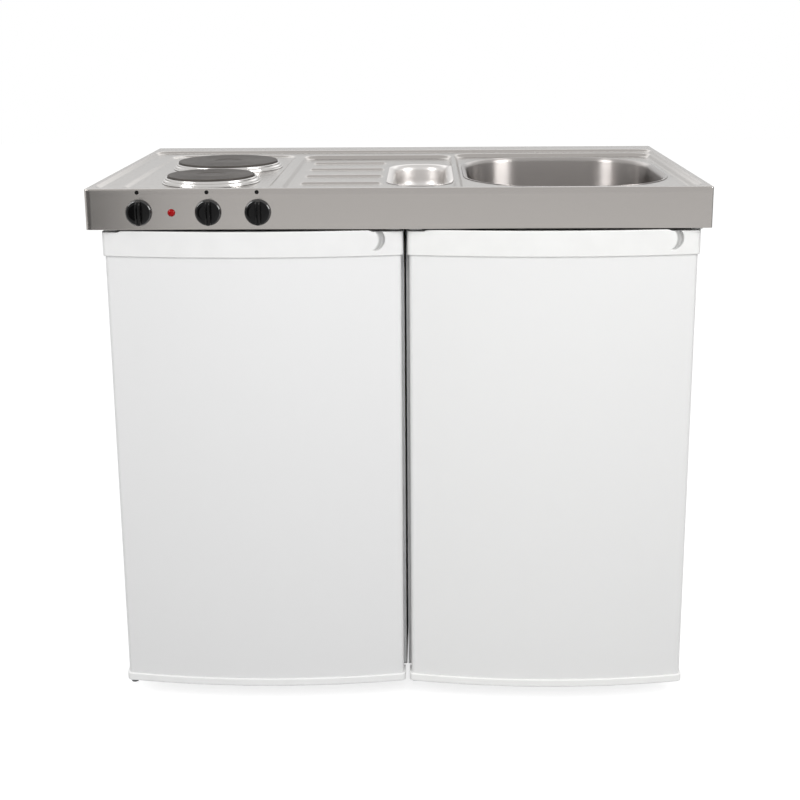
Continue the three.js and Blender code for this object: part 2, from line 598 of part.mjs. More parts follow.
/** Outline of the cold space, grown by a margin: it steps forward over the compressor niche. */
function coldOutline(margin, front) {
  const { back, bottom, top } = CABINET;
  const rear = back - FRIDGE.back + margin;
  const stepY = back - NICHE.depth - NICHE.bulkhead + margin;
  const stepZ = bottom + NICHE.height + NICHE.bulkhead - margin;
  const floor = bottom + FRIDGE.floor - margin;
  const roof = top - FRIDGE.roof + margin;
  const outline = new THREE.Shape();
  outline.moveTo(front, floor);
  outline.lineTo(stepY, floor);
  outline.lineTo(stepY, stepZ);
  outline.lineTo(rear, stepZ);
  outline.lineTo(rear, roof);
  outline.lineTo(front, roof);
  return outline;
}

const COLD = { left: FRIDGE.left + FRIDGE.wall, right: FRIDGE.right - FRIDGE.wall };
const LINER_FRONT = CABINET.front + LINER.sheet;
const SHELF_FRONT = CABINET.front + 70;

function fridgeShell() {
  const body = prismX(fridgeOutline(0), FRIDGE.left, FRIDGE.right);
  const inner = prismX(fridgeOutline(STEEL), FRIDGE.left + STEEL, FRIDGE.right - STEEL);
  const mouth = block(FRIDGE.left + STEEL, FRIDGE.right - STEEL, CABINET.front - STEEL, CABINET.front + STEEL,
    CABINET.bottom + STEEL, CABINET.top - STEEL);
  return piece('fridge_shell', body.subtract(inner).subtract(mouth), 'white');
}

function fridgeFoam() {
  const margin = STEEL + GAP;
  const body = prismX(fridgeOutline(margin), FRIDGE.left + margin, FRIDGE.right - margin);
  const front = block(FRIDGE.left, FRIDGE.right, CABINET.front - STEEL, LINER_FRONT + GAP,
    CABINET.bottom, CABINET.top);
  const hole = LINER.sheet + GAP;
  const cold = prismX(coldOutline(hole, CABINET.front - STEEL), COLD.left - hole, COLD.right + hole);
  return piece('fridge_foam', body.subtract(front).subtract(cold), 'foam');
}

function fridgeLiner() {
  const inset = STEEL + GAP;
  const flange = block(FRIDGE.left + inset, FRIDGE.right - inset, CABINET.front, LINER_FRONT,
    CABINET.bottom + inset, CABINET.top - inset);
  const outer = prismX(coldOutline(LINER.sheet, CABINET.front), COLD.left - LINER.sheet,
    COLD.right + LINER.sheet);
  const cold = prismX(coldOutline(0, CABINET.front - STEEL), COLD.left, COLD.right);
  let liner = flange.add(outer).subtract(cold);
  for (const z of [SHELF.upperZ, SHELF.lowerZ]) {
    for (const [x0, x1] of [[COLD.left - STEEL, COLD.left + SHELF.ledge],
      [COLD.right - SHELF.ledge, COLD.right + STEEL]]) {
      liner = liner.add(block(x0, x1, SHELF_FRONT, SHELF_FRONT + SHELF.depth, z - GAP - SHELF.thickness,
        z - GAP));
    }
  }
  return piece('fridge_liner', liner, 'liner');
}

/** Glass shelf that rests on the ledges of the liner's side walls. */
function glassShelf(name, z) {
  const { side, thickness, depth } = SHELF;
  return piece(name, block(COLD.left + side, COLD.right - side, SHELF_FRONT, SHELF_FRONT + depth, z,
    z + thickness), 'glass');
}

const CRISPER_FLOOR = CABINET.bottom + FRIDGE.floor + GAP;

/** Open drawer for vegetables on the liner's floor, in front of the compressor step. */
function crisperDrawer() {
  const { height, wall, clearance, depth, lipHeight } = CRISPER;
  const left = COLD.left + clearance;
  const right = COLD.right - clearance;
  const front = SHELF_FRONT;
  const back = front + depth - NICHE.bulkhead - 5;
  const body = prism(roundedRect(left, right, front, back, 10), CRISPER_FLOOR, CRISPER_FLOOR + height);
  const inside = prism(roundedRect(left + wall, right - wall, front + wall, back - wall, 10 - wall),
    CRISPER_FLOOR + wall, CRISPER_FLOOR + 2 * height);
  const pull = block(left + 4 * clearance, right - 4 * clearance, front - clearance, front + wall / 2,
    CRISPER_FLOOR + height - lipHeight, CRISPER_FLOOR + height - lipHeight + wall);
  return piece('crisper_drawer', body.subtract(inside).add(pull), 'clear');
}

/** Housing for the thermostat and the lamp, under the cold space's roof. */
function thermostatHousing() {
  const { width, depth, height, y } = THERMOSTAT;
  const centre = (COLD.left + COLD.right) / 2;
  const roof = CABINET.top - FRIDGE.roof - GAP;
  const shape = roundedRect(centre - width / 2, centre + width / 2, y - depth / 2, y + depth / 2, 12);
  return piece('thermostat_housing', pillow(shape, roof - height, roof + height, 4, 4, 1, 3)
    .subtract(block(-WORKTOP.width, WORKTOP.width, -WORKTOP.depth, WORKTOP.depth, roof, WORKTOP.top)),
      'liner');
}

/** Thermostat knob that turns on the front of its housing. */
function thermostatKnob() {
  const { depth, height, y, knobRadius, knobHeight, knobShift } = THERMOSTAT;
  const centre = (COLD.left + COLD.right) / 2;
  const knob = turned(0, 0, 0,
    [[0, 0], [knobRadius, 0], [knobRadius - 1, knobHeight - 1], [knobRadius - 2, knobHeight],
    [0, knobHeight]], 24).add(block(-2, 2, -knobRadius + 2, knobRadius - 2, knobHeight - 1, knobHeight + 4));
  const mesh = piece('thermostat_knob', knob, 'white');
  mesh.rotation.x = Math.PI / 2;
  mesh.position.set(centre + knobShift, y - depth / 2 - 4 - GAP, CABINET.top - FRIDGE.roof - height / 2 - 1);
  return mesh;
}

/** Sealed compressor: a welded pot on its base plate, with the suction stub on top. */
function compressor() {
  const { radius, height, x, tray } = COMPRESSOR;
  const y = CABINET.back - NICHE.depth / 2 + 4;
  const foot = CABINET.bottom + tray + GAP;
  const outline = [
    [0, foot], [radius * 0.7, foot], [radius * 0.9, foot + 12], [radius, foot + 30],
      [radius, foot + height * 0.55],
    [radius + 3, foot + height * 0.55], [radius + 3, foot + height * 0.6], [radius, foot + height * 0.6],
    [radius * 0.9, foot + height * 0.85], [radius * 0.55, foot + height], [0, foot + height + 4],
  ];
  const box = block(x + radius * 0.6, x + radius + 34, y - 22, y + 22, foot + 30, foot + 76);
  return piece('compressor', turned(x, y, 0, outline, 20).add(box), 'blackSteel');
}

function compressorTray() {
  const back = CABINET.back;
  const plate = block(FRIDGE.left + 2, FRIDGE.right - 2, back - NICHE.depth + GAP, back, CABINET.bottom,
    CABINET.bottom + COMPRESSOR.tray);
  return piece('compressor_tray', plate, 'galvanised');
}

/** Condenser coil on the outside of the back: level runs of tube joined by bends, on two straps with feet. */
function condenserCoil() {
  const { rows, tube: radius, margin, bottom, top, y, strap } = CONDENSER;
  const left = FRIDGE.left + margin;
  const right = FRIDGE.right - margin;
  const pitch = (top - bottom) / (rows - 1);
  const route = [];
  for (let i = 0; i < rows; i += 1) {
    const z = top - i * pitch;
    route.push(i % 2 ? [right, y, z] : [left, y, z], i % 2 ? [left, y, z] : [right, y, z]);
  }
  let coil = tube(route, radius, 0, pitch / 2 - 1, 3, 96);
  const wall = CABINET.back + GAP;
  for (const x of [left + 2 * margin, right - 2 * margin]) {
    coil = coil.add(block(x - strap / 2, x + strap / 2, y, y + radius + STEEL, bottom - margin / 2,
      top + margin / 2));
    for (const z of [bottom - margin / 2, top + margin / 2 - strap]) {
      coil = coil.add(block(x - strap / 2, x + strap / 2, wall, y + radius, z, z + strap));
    }
  }
  return piece('condenser_coil', coil, 'blackSteel');
}

// ---------------------------------------------------------------- doors

/** Plan outline of a bowed door: a parabola in front, rounded front corners and a flat back. */
function doorOutline(left, right, back, grow = 0) {
  const { edgeY, bow, cornerRadius, bowSteps } = DOOR;
  const middle = (left + right) / 2;
  const half = (right - left) / 2;
  const front = (x) => edgeY - grow - bow * (1 - ((x - middle) / half) ** 2);
  const points = [[left, back], [right, back]];
  const corner = [0, 0.3, 0.6, 0.85].map((t) => (t * Math.PI) / 2);
  for (const t of corner) {
    const x = right - cornerRadius + cornerRadius * Math.cos(t);
    points.push([x, front(x) + cornerRadius * (1 - Math.sin(t))]);
  }
  for (let i = 0; i <= bowSteps; i += 1) {
    const x = right - cornerRadius - ((right - left - 2 * cornerRadius) * i) / bowSteps;
    points.push([x, front(x)]);
  }
  for (const t of corner.reverse()) {
    const x = left + cornerRadius - cornerRadius * Math.cos(t);
    points.push([x, front(x) + cornerRadius * (1 - Math.sin(t))]);
  }
  return new THREE.Shape(points.map(([x, y]) => new THREE.Vector2(x, y)));
}

/** Band that follows the bow, between two distances behind the front face. */
function bowBand(door, x0, x1, near, far) {
  const middle = (door.left + door.right) / 2;
  const half = (door.right - door.left) / 2;
  const front = (x) => DOOR.edgeY - DOOR.bow * (1 - ((x - middle) / half) ** 2);
  const xs = Array.from({ length: DOOR.bowSteps + 1 }, (_, i) => x0 + ((x1 - x0) * i) / DOOR.bowSteps);
  const points = xs.map((x) => new THREE.Vector2(x, front(x) + near));
  points.push(...xs.reverse().map((x) => new THREE.Vector2(x, front(x) + far)));
  return new THREE.Shape(points);
}

const DOOR_BACK = DOOR.edgeY + DOOR.thickness;
const PANEL_BOTTOM = DOOR.bottom + TRIM.bottom + GAP;
const PANEL_TOP = DOOR.top - TRIM.top - GAP;

/** Painted steel skin on its stiff core. */
function doorPanel(name, { left, right }, look) {
  return piece(name, prism(doorOutline(left + TRIM.proud, right - TRIM.proud, DOOR_BACK), PANEL_BOTTOM,
    PANEL_TOP), look);
}

/** Pin hole on the hinge axis, between two heights. */
function pinHole(door, z0, z1) {
  const x = door.left + HINGE.inset;
  return post(x, DOOR.edgeY + HINGE.inset, z0, z1, HINGE.pinRadius + HINGE.clearance, undefined, 20);
}

/** Crescent that ends the finger grip, cut through the trim's front. */
function gripNotch(door) {
  const disc = (radius, fromRight, below) => rod(door.right - fromRight, DOOR.top - below,
    DOOR.edgeY - 2 * DOOR.bow,
    DOOR.edgeY + TRIM.wall + GRIP.width - NOTCH.rise, radius, 32);
  return disc(NOTCH.outer, NOTCH.outerFrom, NOTCH.outerBelow)
    .subtract(disc(NOTCH.inner, NOTCH.innerFrom, NOTCH.innerBelow));
}

/** Moulded top trim: corner blocks, a raised front lip with a finger trough behind it, and the crescent. */
function topTrim(name, door, look) {
  const { left, right } = door;
  const bottom = DOOR.top - TRIM.top;
  const whole = prism(doorOutline(left, right, DOOR_BACK, GAP), bottom, DOOR.top);
  const x0 = left + GRIP.start;
  const x1 = right - GRIP.end;
  const lip = prism(bowBand(door, x0, x1, 0, TRIM.wall), bottom, DOOR.top + TRIM.lift);
  const floor = DOOR.top - GRIP.depth;
  const trough = prism(bowBand(door, x0, x1, TRIM.wall, TRIM.wall + GRIP.width), floor,
    DOOR.top + 2 * TRIM.lift);
  const hole = pinHole(door, DOOR.top - HINGE.pinDepth - GAP, DOOR.top + GAP);
  return piece(name, whole.add(lip).subtract(trough).subtract(gripNotch(door)).subtract(hole), look);
}

function bottomTrim(name, door, look) {
  const whole = prism(doorOutline(door.left, door.right, DOOR_BACK, GAP), DOOR.bottom,
    DOOR.bottom + TRIM.bottom);
  const hole = pinHole(door, DOOR.bottom - GAP, DOOR.bottom + TRIM.bottom - 2);
  return piece(name, whole.subtract(hole), look);
}

/** Flat bracket on the cabinet's top with the pin that the door turns on. */
function upperHinge(name, door, look) {
  const x = door.left + HINGE.inset;
  const y = DOOR.edgeY + HINGE.inset;
  const z = CABINET.top + GAP;
  const plate = prism(roundedRect(x - HINGE.width / 2, x + HINGE.width / 2, y - 10, y + HINGE.reach, 5),
    z, z + HINGE.plate, 2);
  return piece(name, plate.add(post(x, y, DOOR.top - HINGE.pinDepth, z + STEEL, HINGE.pinRadius,
    undefined, 20)), look);
}

/** Stepped bracket under the cabinet with the lower pin. */
function lowerHinge(name, door, look) {
  const x = door.left + HINGE.inset;
  const y = DOOR.edgeY + HINGE.inset;
  const top = DOOR.bottom - 2 * GAP;
  const x0 = x - HINGE.width / 2;
  const x1 = x + HINGE.width / 2;
  const riser = CABINET.front + 4 * HINGE.plate;
  const under = CABINET.bottom - GAP;
  const plate = prism(roundedRect(x0, x1, y - 10, riser, 5), top - HINGE.plate, top, 2)
    .add(block(x0, x1, riser - HINGE.plate, riser, top - HINGE.plate, under))
    .add(block(x0, x1, riser - HINGE.plate, riser + 30, under - HINGE.plate, under));
  const pinTop = DOOR.bottom + TRIM.bottom - 3;
  return piece(name, plate.add(post(x, y, top - STEEL, pinTop, HINGE.pinRadius, undefined, 20)), look);
}

const LINER_BACK = DOOR_BACK + GAP;
const GASKET_BACK = LINER_BACK + LINER.sheet + GAP;

/** Moulded inner face of the refrigerator door with a raised rim that carries the bins. */
function doorLiner() {
  const { left, right } = FRIDGE_DOOR;
  const plate = block(left + 8, right - 8, LINER_BACK, LINER_BACK + LINER.sheet, DOOR.bottom + 16,
    DOOR.top - 16);
  const { inset, top, bottom, depth, rim } = DOOR_LINER;
  const z0 = DOOR.bottom + bottom;
  const z1 = DOOR.top - top;
  const back = LINER_BACK + LINER.sheet;
  const wall = block(left + inset, right - inset, back - LINER.sheet / 2, back + depth, z0, z1)
    .subtract(block(left + inset + rim / 2, right - inset - rim / 2, back - depth, back + 2 * depth,
      z0 + rim, z1 - rim));
  return piece('fridge_door_liner', plate.add(wall), 'liner');
}

/** Soft magnetic gasket round the door liner's edge. */
function doorGasket() {
  const { left, right } = FRIDGE_DOOR;
  const { inset, width } = GASKET;
  const x0 = left + inset;
  const x1 = right - inset + 2;
  const z0 = DOOR.bottom + inset + 3;
  const z1 = DOOR.top - inset - 3;
  const back = CABINET.front - GAP;
  const ring = block(x0, x1, GASKET_BACK, back, z0, z1)
    .subtract(block(x0 + width, x1 - width, GASKET_BACK - 1, back + 1, z0 + width, z1 - width));
  return piece('fridge_door_gasket', ring, 'gasket');
}

/** Open bin that hangs on the door liner. */
function doorBin(name, z, height) {
  const { inset, depth, wall } = BIN;
  const x0 = FRIDGE_DOOR.left + inset;
  const x1 = FRIDGE_DOOR.right - inset;
  const front = GASKET_BACK;
  const body = prism(roundedRect(x0, x1, front, front + depth, 12), z, z + height, 2)
    .subtract(prism(roundedRect(x0 + wall, x1 - wall, front + wall, front + depth - wall, 12 - wall),
      z + wall,
      z + 2 * height, 2));
  return piece(name, body, 'clear');
}

// ---------------------------------------------------------------- sink cupboard

/** Folded shell: two sides, a back, a front rail, and returns along the front and top edges. */
function cupboardShell() {
  const { left, right, rail, pipeHole, returnWidth, topFold } = CUPBOARD;
  const { front, back, bottom, top } = CABINET;
  const body = block(left, right, front, back, bottom, top)
    .subtract(block(left + STEEL, right - STEEL, front + STEEL, back - STEEL, bottom - STEEL, top + STEEL))
    .subtract(block(left + returnWidth, right - returnWidth, front - STEEL, front + 2 * STEEL,
      bottom - STEEL, top - rail));
  const hole = rod(BOWL.x, DRAIN_Z, back - 3 * STEEL, back + 3 * STEEL, pipeHole);
  const leftFold = block(left, left + topFold, front, back, top - STEEL, top);
  const rightFold = block(right - topFold, right, front, back, top - STEEL, top);
  return piece('cupboard_shell', body.subtract(hole).add(leftFold).add(rightFold), 'white');
}

function cupboardFloor() {
  const { left, right, floorLip } = CUPBOARD;
  const margin = STEEL + GAP;
  const { front, back, bottom } = CABINET;
  const body = block(left + margin, right - margin, front + margin, back - margin, bottom, bottom + floorLip)
    .subtract(block(left + margin + STEEL, right - margin - STEEL, front + margin + STEEL,
      back - margin - STEEL,
      bottom + STEEL, bottom + 2 * floorLip));
  return piece('cupboard_floor', body, 'white');
}

/** Levelling foot: a pad, a threaded stem and a collar under the cabinet's floor. */
function foot(name, x, y) {
  const { radius, padHeight, stemRadius, collarRadius } = FOOT;
  const top = CABINET.bottom - GAP;
  const outline = [
    [0, 0], [radius, 0], [radius, padHeight * 0.6], [collarRadius, padHeight], [stemRadius, padHeight],
    [stemRadius, top - 6], [collarRadius, top - 6], [collarRadius, top], [0, top],
  ];
  return piece(name, turned(x, y, 0, outline, 12), 'blackMatte');
}

// ---------------------------------------------------------------- assembly

function cabinetFeet(prefix, left, right) {
  const xs = { left: left + FOOT.sideInset, right: right - FOOT.sideInset };
  const ys = { front: CABINET.front + FOOT.frontInset, rear: CABINET.back - FOOT.frontInset };
  return Object.entries(ys).flatMap(([row, y]) => Object.entries(xs)
    .map(([side, x]) => foot(`${prefix}_${row}_${side}_foot`, x, y)));
}

const unit = new THREE.Group();
// The bounding box's middle is on the origin: the fullest point of the doors and the knobs reach in front
// of the lip.
const reachFront = Math.max(KNOB.height + WORKTOP.depth / 2, DOOR.bow - DOOR.edgeY + GAP);
unit.position.y = (reachFront - WORKTOP.depth / 2) / 2;

unit.add(worktop(), sinkBowl(), strainerBasin());
unit.add(sinkWaste(), strainerBasket(), trapBody(), trapCup(), drainPipe(), basinWaste(), branchPipe());
unit.add(hotplate('rear_hotplate', REAR_PLATE), hotplate('front_hotplate', FRONT_PLATE));
unit.add(spillRing('rear_spill_ring', REAR_PLATE), spillRing('front_spill_ring', FRONT_PLATE), hobTray());
unit.add(switchBody('timer_switch', CONTROLS.timer), switchBody('rear_plate_switch', CONTROLS.rearPlate));
unit.add(switchBody('front_plate_switch', CONTROLS.frontPlate));
unit.add(controlKnob('timer_knob', CONTROLS.timer), controlKnob('rear_plate_knob', CONTROLS.rearPlate));
unit.add(controlKnob('front_plate_knob', CONTROLS.frontPlate), pilotLamp(), terminalBox());
unit.add(bearer('left_bearer', BEARER.leftX, OUTER_FIELD),
  bearer('right_bearer', RIGHT_BEARER_X, SINK_FIELD));

const fridge = new THREE.Group();
fridge.add(fridgeShell(), fridgeFoam(), fridgeLiner(), condenserCoil(), compressor(), compressorTray());
fridge.add(glassShelf('upper_shelf', SHELF.upperZ), glassShelf('lower_shelf', SHELF.lowerZ));
fridge.add(crisperDrawer(), thermostatHousing(), thermostatKnob());
fridge.add(doorPanel('fridge_door_panel', FRIDGE_DOOR, 'white'),
  topTrim('fridge_door_top_trim', FRIDGE_DOOR, 'white'));
fridge.add(bottomTrim('fridge_door_bottom_trim', FRIDGE_DOOR, 'white'), doorLiner(), doorGasket());
fridge.add(doorBin('upper_door_bin', BIN.upperZ, BIN.upperHeight),
  doorBin('lower_door_bin', BIN.lowerZ, BIN.lowerHeight));
fridge.add(upperHinge('fridge_upper_hinge', FRIDGE_DOOR, 'white'),
  lowerHinge('fridge_lower_hinge', FRIDGE_DOOR, 'galvanised'));
fridge.add(...cabinetFeet('fridge', FRIDGE.left, FRIDGE.right));

const cupboard = new THREE.Group();
cupboard.add(cupboardShell(), cupboardFloor(), doorPanel('cupboard_door_panel', CUPBOARD_DOOR, 'cream'));
cupboard.add(topTrim('cupboard_door_top_trim', CUPBOARD_DOOR, 'cream'));
cupboard.add(bottomTrim('cupboard_door_bottom_trim', CUPBOARD_DOOR, 'cream'));
cupboard.add(upperHinge('cupboard_upper_hinge', CUPBOARD_DOOR, 'white'));
cupboard.add(lowerHinge('cupboard_lower_hinge', CUPBOARD_DOOR, 'galvanised'));
cupboard.add(...cabinetFeet('cupboard', CUPBOARD.left, CUPBOARD.right));

unit.add(fridge, cupboard);
const group = new THREE.Group();
group.name = 'kitchenette_unit';
group.add(unit);

export default group;
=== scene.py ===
"""Kitchenette unit: pressed steel worktop with sink and hob over a refrigerator and a sink cupboard.

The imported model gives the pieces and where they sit. This scene gives each visible piece its fine surface and
its finish, and sets the light and the camera. Lengths are metres, +X right, +Y back, +Z up.
"""
from __future__ import annotations

import json
import logging
import math
from dataclasses import dataclass, field
from enum import Enum
from functools import cache
from typing import Any, Callable, Sequence

import bpy
import numpy as np
from mathutils import Matrix, Vector

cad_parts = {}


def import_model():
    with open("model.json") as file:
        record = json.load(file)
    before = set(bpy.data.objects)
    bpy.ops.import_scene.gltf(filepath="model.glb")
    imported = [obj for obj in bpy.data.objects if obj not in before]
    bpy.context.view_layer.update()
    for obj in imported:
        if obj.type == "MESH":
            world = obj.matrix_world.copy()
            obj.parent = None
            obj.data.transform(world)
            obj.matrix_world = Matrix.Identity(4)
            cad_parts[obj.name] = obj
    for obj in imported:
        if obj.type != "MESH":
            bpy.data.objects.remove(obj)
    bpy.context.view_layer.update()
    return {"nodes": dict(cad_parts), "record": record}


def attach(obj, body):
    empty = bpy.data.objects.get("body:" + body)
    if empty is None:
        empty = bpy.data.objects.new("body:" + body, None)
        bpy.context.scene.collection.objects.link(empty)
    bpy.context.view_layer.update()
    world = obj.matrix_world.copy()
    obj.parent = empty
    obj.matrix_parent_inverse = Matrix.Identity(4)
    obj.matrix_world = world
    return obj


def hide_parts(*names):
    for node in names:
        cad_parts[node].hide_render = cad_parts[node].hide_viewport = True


Array = np.ndarray
Pair = tuple[float, float]
Triple = tuple[float, float, float]
Socket = bpy.types.NodeSocket
Sockets = dict[str, Socket]
LOG = logging.getLogger("kitchenette")
MM = 0.001
SHIFT = 10.5  # mm that the unit stands behind its own drawing, so that its box is centred
LIP_Y = -300.0  # front face of the worktop's lip
PIPE_Z = 631.5  # axis of the drain pipe and of the basin's branch
BASIN_WASTE = (47.5, -61.0)  # middle of the small basin's waste
SHELVES = {"upper": 530.0, "lower": 290.0}  # undersides of the glass shelves


# ------------------------------------------------------------------ surfaces


@dataclass
class Sheet:
    """Points in millimetres and the quads between them."""

    points: list[Array] = field(default_factory=list)
    quads: list[Array] = field(default_factory=list)
    count: int = 0

    def grid(self, points: Array, closed: bool = False, flip: bool = False,
             keep: Array | None = None) -> Sheet:
        """Add a grid of points as quads.

        Args:
            points: array of rows, columns and 3 coordinates.
            closed: join the last column to the first.
            flip: turn the faces over.
            keep: mask of the quads that stay.

        Returns:
            This sheet, so that calls chain.
        """
        rows, cols = points.shape[:2]
        index = np.arange(rows * cols).reshape(rows, cols) + self.count
        if closed:
            index = np.concatenate([index, index[:, :1]], axis=1)
        quads = np.stack([index[:-1, :-1], index[:-1, 1:], index[1:, 1:], index[1:, :-1]], axis=-1)
        if keep is not None:
            quads = quads[keep]
        quads = quads.reshape(-1, 4)
        self.points.append(points.reshape(-1, 3))
        self.quads.append(quads[:, ::-1] if flip else quads)
        self.count += rows * cols
        return self

    def join(self, other: Sheet) -> Sheet:
        """Take in another sheet's points and faces."""
        self.points += other.points
        self.quads += [quads + self.count for quads in other.quads]
        self.count += other.count
        return self

    def place(self, move: Sequence[float], turn: Array | None = None) -> Sheet:
        """Turn every point by a 3 by 3 matrix, then move it."""
        self.points = [(p if turn is None else p @ turn.T) + move for p in self.points]
        return self

    def mesh(self, name: str, weld: float = 2e-3) -> bpy.types.Mesh:
        """Weld equal points, drop collapsed faces and write the mesh in metres.

        Args:
            name: the mesh's name.
            weld: distance in millimetres within which points become one.

        Returns:
            The Blender mesh, smooth shaded.
        """
        points = np.concatenate(self.points)
        quads = np.concatenate(self.quads)
        _, first, inverse = np.unique(np.round(points / weld).astype(np.int64), axis=0, return_index=True,
                                      return_inverse=True)
        quads = inverse.reshape(-1)[quads]
        alive = quads != np.roll(quads, -1, axis=1)
        corners = alive.sum(axis=1)
        whole = (corners >= 3) & (quads[:, 0] != quads[:, 2]) & (quads[:, 1] != quads[:, 3])
        quads, alive, corners = quads[whole], alive[whole], corners[whole]
        loops = quads[alive]
        mesh = bpy.data.meshes.new(name)
        mesh.vertices.add(len(first))
        mesh.vertices.foreach_set("co", (points[first] * MM).astype(np.float32).ravel())
        mesh.loops.add(len(loops))
        mesh.loops.foreach_set("vertex_index", loops.astype(np.int32))
        mesh.polygons.add(len(corners))
        mesh.polygons.foreach_set("loop_start",
                                  np.concatenate([[0], np.cumsum(corners)[:-1]]).astype(np.int32))
        mesh.update(calc_edges=True)
        mesh.validate()
        mesh.shade_smooth()
        return mesh


def cloud(*axes: Any) -> Array:
    """Points from their coordinates, each a number or an array, spread to one shape."""
    return np.stack(np.broadcast_arrays(*axes), axis=-1)


def lifted(line: Array, z: Any) -> Array:
    """Outline in plan at a height."""
    return cloud(line[:, 0], line[:, 1], z)


def upright(line: Array, y: Any) -> Array:
    """Outline of width and height at a depth."""
    return cloud(line[:, 0], y, line[:, 1])


def across(line: Array, x: Any) -> Array:
    """Outline of depth and height at a place along the width."""
    return cloud(x, line[:, 0], line[:, 1])


def spanned(low: Sequence[float], high: Sequence[float], second: int = 1) -> tuple[Pair, Pair]:
    """Middle and half size of a box, in its width and one more axis."""
    return (((low[0] + high[0]) / 2, (low[second] + high[second]) / 2),
            ((high[0] - low[0]) / 2, (high[second] - low[second]) / 2))


def mark(mesh: bpy.types.Mesh, name: str, value: Callable[[Array, Array, Array], Array]) -> None:
    """Write a point attribute as a function of the places in millimetres."""
    place = np.zeros(len(mesh.vertices) * 3, np.float32)
    mesh.vertices.foreach_get("co", place)
    values = value(*(place.reshape(-1, 3) / MM).T)
    mesh.attributes.new(name, "FLOAT", "POINT").data.foreach_set("value", values.astype(np.float32))


def graded(low: float, high: float, bands: Sequence[Triple], coarse: float) -> Array:
    """Grid lines between two ends, closer together inside each band of (start, end, step)."""
    fine = np.arange(low, high + 0.05, 0.1)
    step = np.full(fine.shape, coarse)
    for start, end, size in bands:
        step = np.where((fine >= start) & (fine <= end), np.minimum(step, size), step)
    total = np.concatenate([[0.0], np.cumsum(0.1 / step[1:])])
    lines = np.interp(np.linspace(0, total[-1], int(math.ceil(total[-1])) + 1), total, fine)
    lines[0], lines[-1] = low, high
    return lines


def smooth(value: Array) -> Array:
    """Rise from 0 to 1 with level ends: 3 v squared less 2 v cubed, with v held between 0 and 1."""
    held = np.clip(value, 0.0, 1.0)
    return held * held * (3.0 - 2.0 * held)


def rect_distance(x: Array, y: Array, centre: Pair, half: Pair,
                  radius: float) -> Array:
    """Signed distance to a rectangle with round corners, negative inside."""
    qx = np.abs(x - centre[0]) - (half[0] - radius)
    qy = np.abs(y - centre[1]) - (half[1] - radius)
    return np.hypot(np.maximum(qx, 0), np.maximum(qy, 0)) + np.minimum(np.maximum(qx, qy), 0) - radius


def rounded_contour(centre: Pair, half: Pair, radius: float, arc: int,
                    straight: tuple[int, int]) -> Array:
    """Points round a rectangle with round corners, anticlockwise, the same number at every size.

    Args:
        centre: middle of the rectangle.
        half: half of its width and depth.
        radius: corner radius.
        arc: steps in each corner.
        straight: steps along each level side and each upright side.

    Returns:
        Array of points by 2.
    """
    turn = np.linspace(0, math.pi / 2, arc + 1)
    parts = []
    signs = [(1, 1), (-1, 1), (-1, -1), (1, -1)]
    for k, (sx, sy) in enumerate(signs):
        hub = np.array([centre[0] + sx * (half[0] - radius), centre[1] + sy * (half[1] - radius)])
        angle = turn + k * math.pi / 2
        corner = hub + radius * cloud(np.cos(angle), np.sin(angle))
        nx, ny = signs[(k + 1) % 4]
        next_hub = np.array([centre[0] + nx * (half[0] - radius), centre[1] + ny * (half[1] - radius)])
        start = next_hub + radius * np.array([math.cos(angle[-1]), math.sin(angle[-1])])
        steps = straight[0] if k % 2 == 0 else straight[1]
        along = np.linspace(0, 1, steps + 1)[1:-1, None]
        parts += [corner, corner[-1] + (start - corner[-1]) * along]
    return np.concatenate(parts)


def lathe(profile: Array, sides: int, centre: Pair = (0.0, 0.0)) -> Array:
    """Revolve (radius, height) rows about an upright axis: rows are heights, columns are angles."""
    angle = np.linspace(0, 2 * math.pi, sides, endpoint=False)
    x = centre[0] + profile[:, :1] * np.cos(angle)
    y = centre[1] + profile[:, :1] * np.sin(angle)
    return cloud(x, y, profile[:, 1:2])


def spun(profile: Any, sides: int, centre: Pair = (0.0, 0.0)) -> Sheet:
    """Sheet of a profile of (radius, height) revolved about an upright axis."""
    return Sheet().grid(lathe(np.array(profile, float), sides, centre), closed=True)


def fillet(points: Sequence[Sequence[float]], radii: Sequence[float], steps: int = 5) -> Array:
    """Round the inner corners of an open line in 2 or 3 axes, each as a curve of the given radius."""
    path = np.array(points, float)
    out = [path[:1]]
    t = np.linspace(0, 1, steps + 1)[:, None]
    for here, before, after, radius in zip(path[1:-1], path[:-2], path[2:], radii):
        into, away = here - before, after - here
        before_length, after_length = np.linalg.norm(into), np.linalg.norm(away)
        reach = min(radius, 0.49 * before_length, 0.49 * after_length)
        start = here - into / before_length * reach
        end = here + away / after_length * reach
        out.append((1 - t) ** 2 * start + 2 * t * (1 - t) * here + t**2 * end)
    return np.concatenate(out + [path[-1:]])


def sweep(path: Array, radius: float, sides: int) -> Array:
    """Round tube along a path: a ring of points square to the path at each of its points."""
    ahead = np.gradient(path, axis=0)
    ahead /= np.linalg.norm(ahead, axis=1, keepdims=True)
    guide = np.where(np.abs(ahead[:, 2:3]) > 0.9, [[0.0, 1.0, 0.0]], [[0.0, 0.0, 1.0]])
    side = np.cross(ahead, guide)
    side /= np.linalg.norm(side, axis=1, keepdims=True)
    up = np.cross(side, ahead)
    angle = np.linspace(0, 2 * math.pi, sides, endpoint=False)[None, :, None]
    return path[:, None] + radius * (np.cos(angle) * side[:, None] + np.sin(angle) * up[:, None])


TO_FRONT = np.array([[1.0, 0, 0], [0, 0, -1.0], [0, 1.0, 0]])  # turns an upright piece to point at the viewer


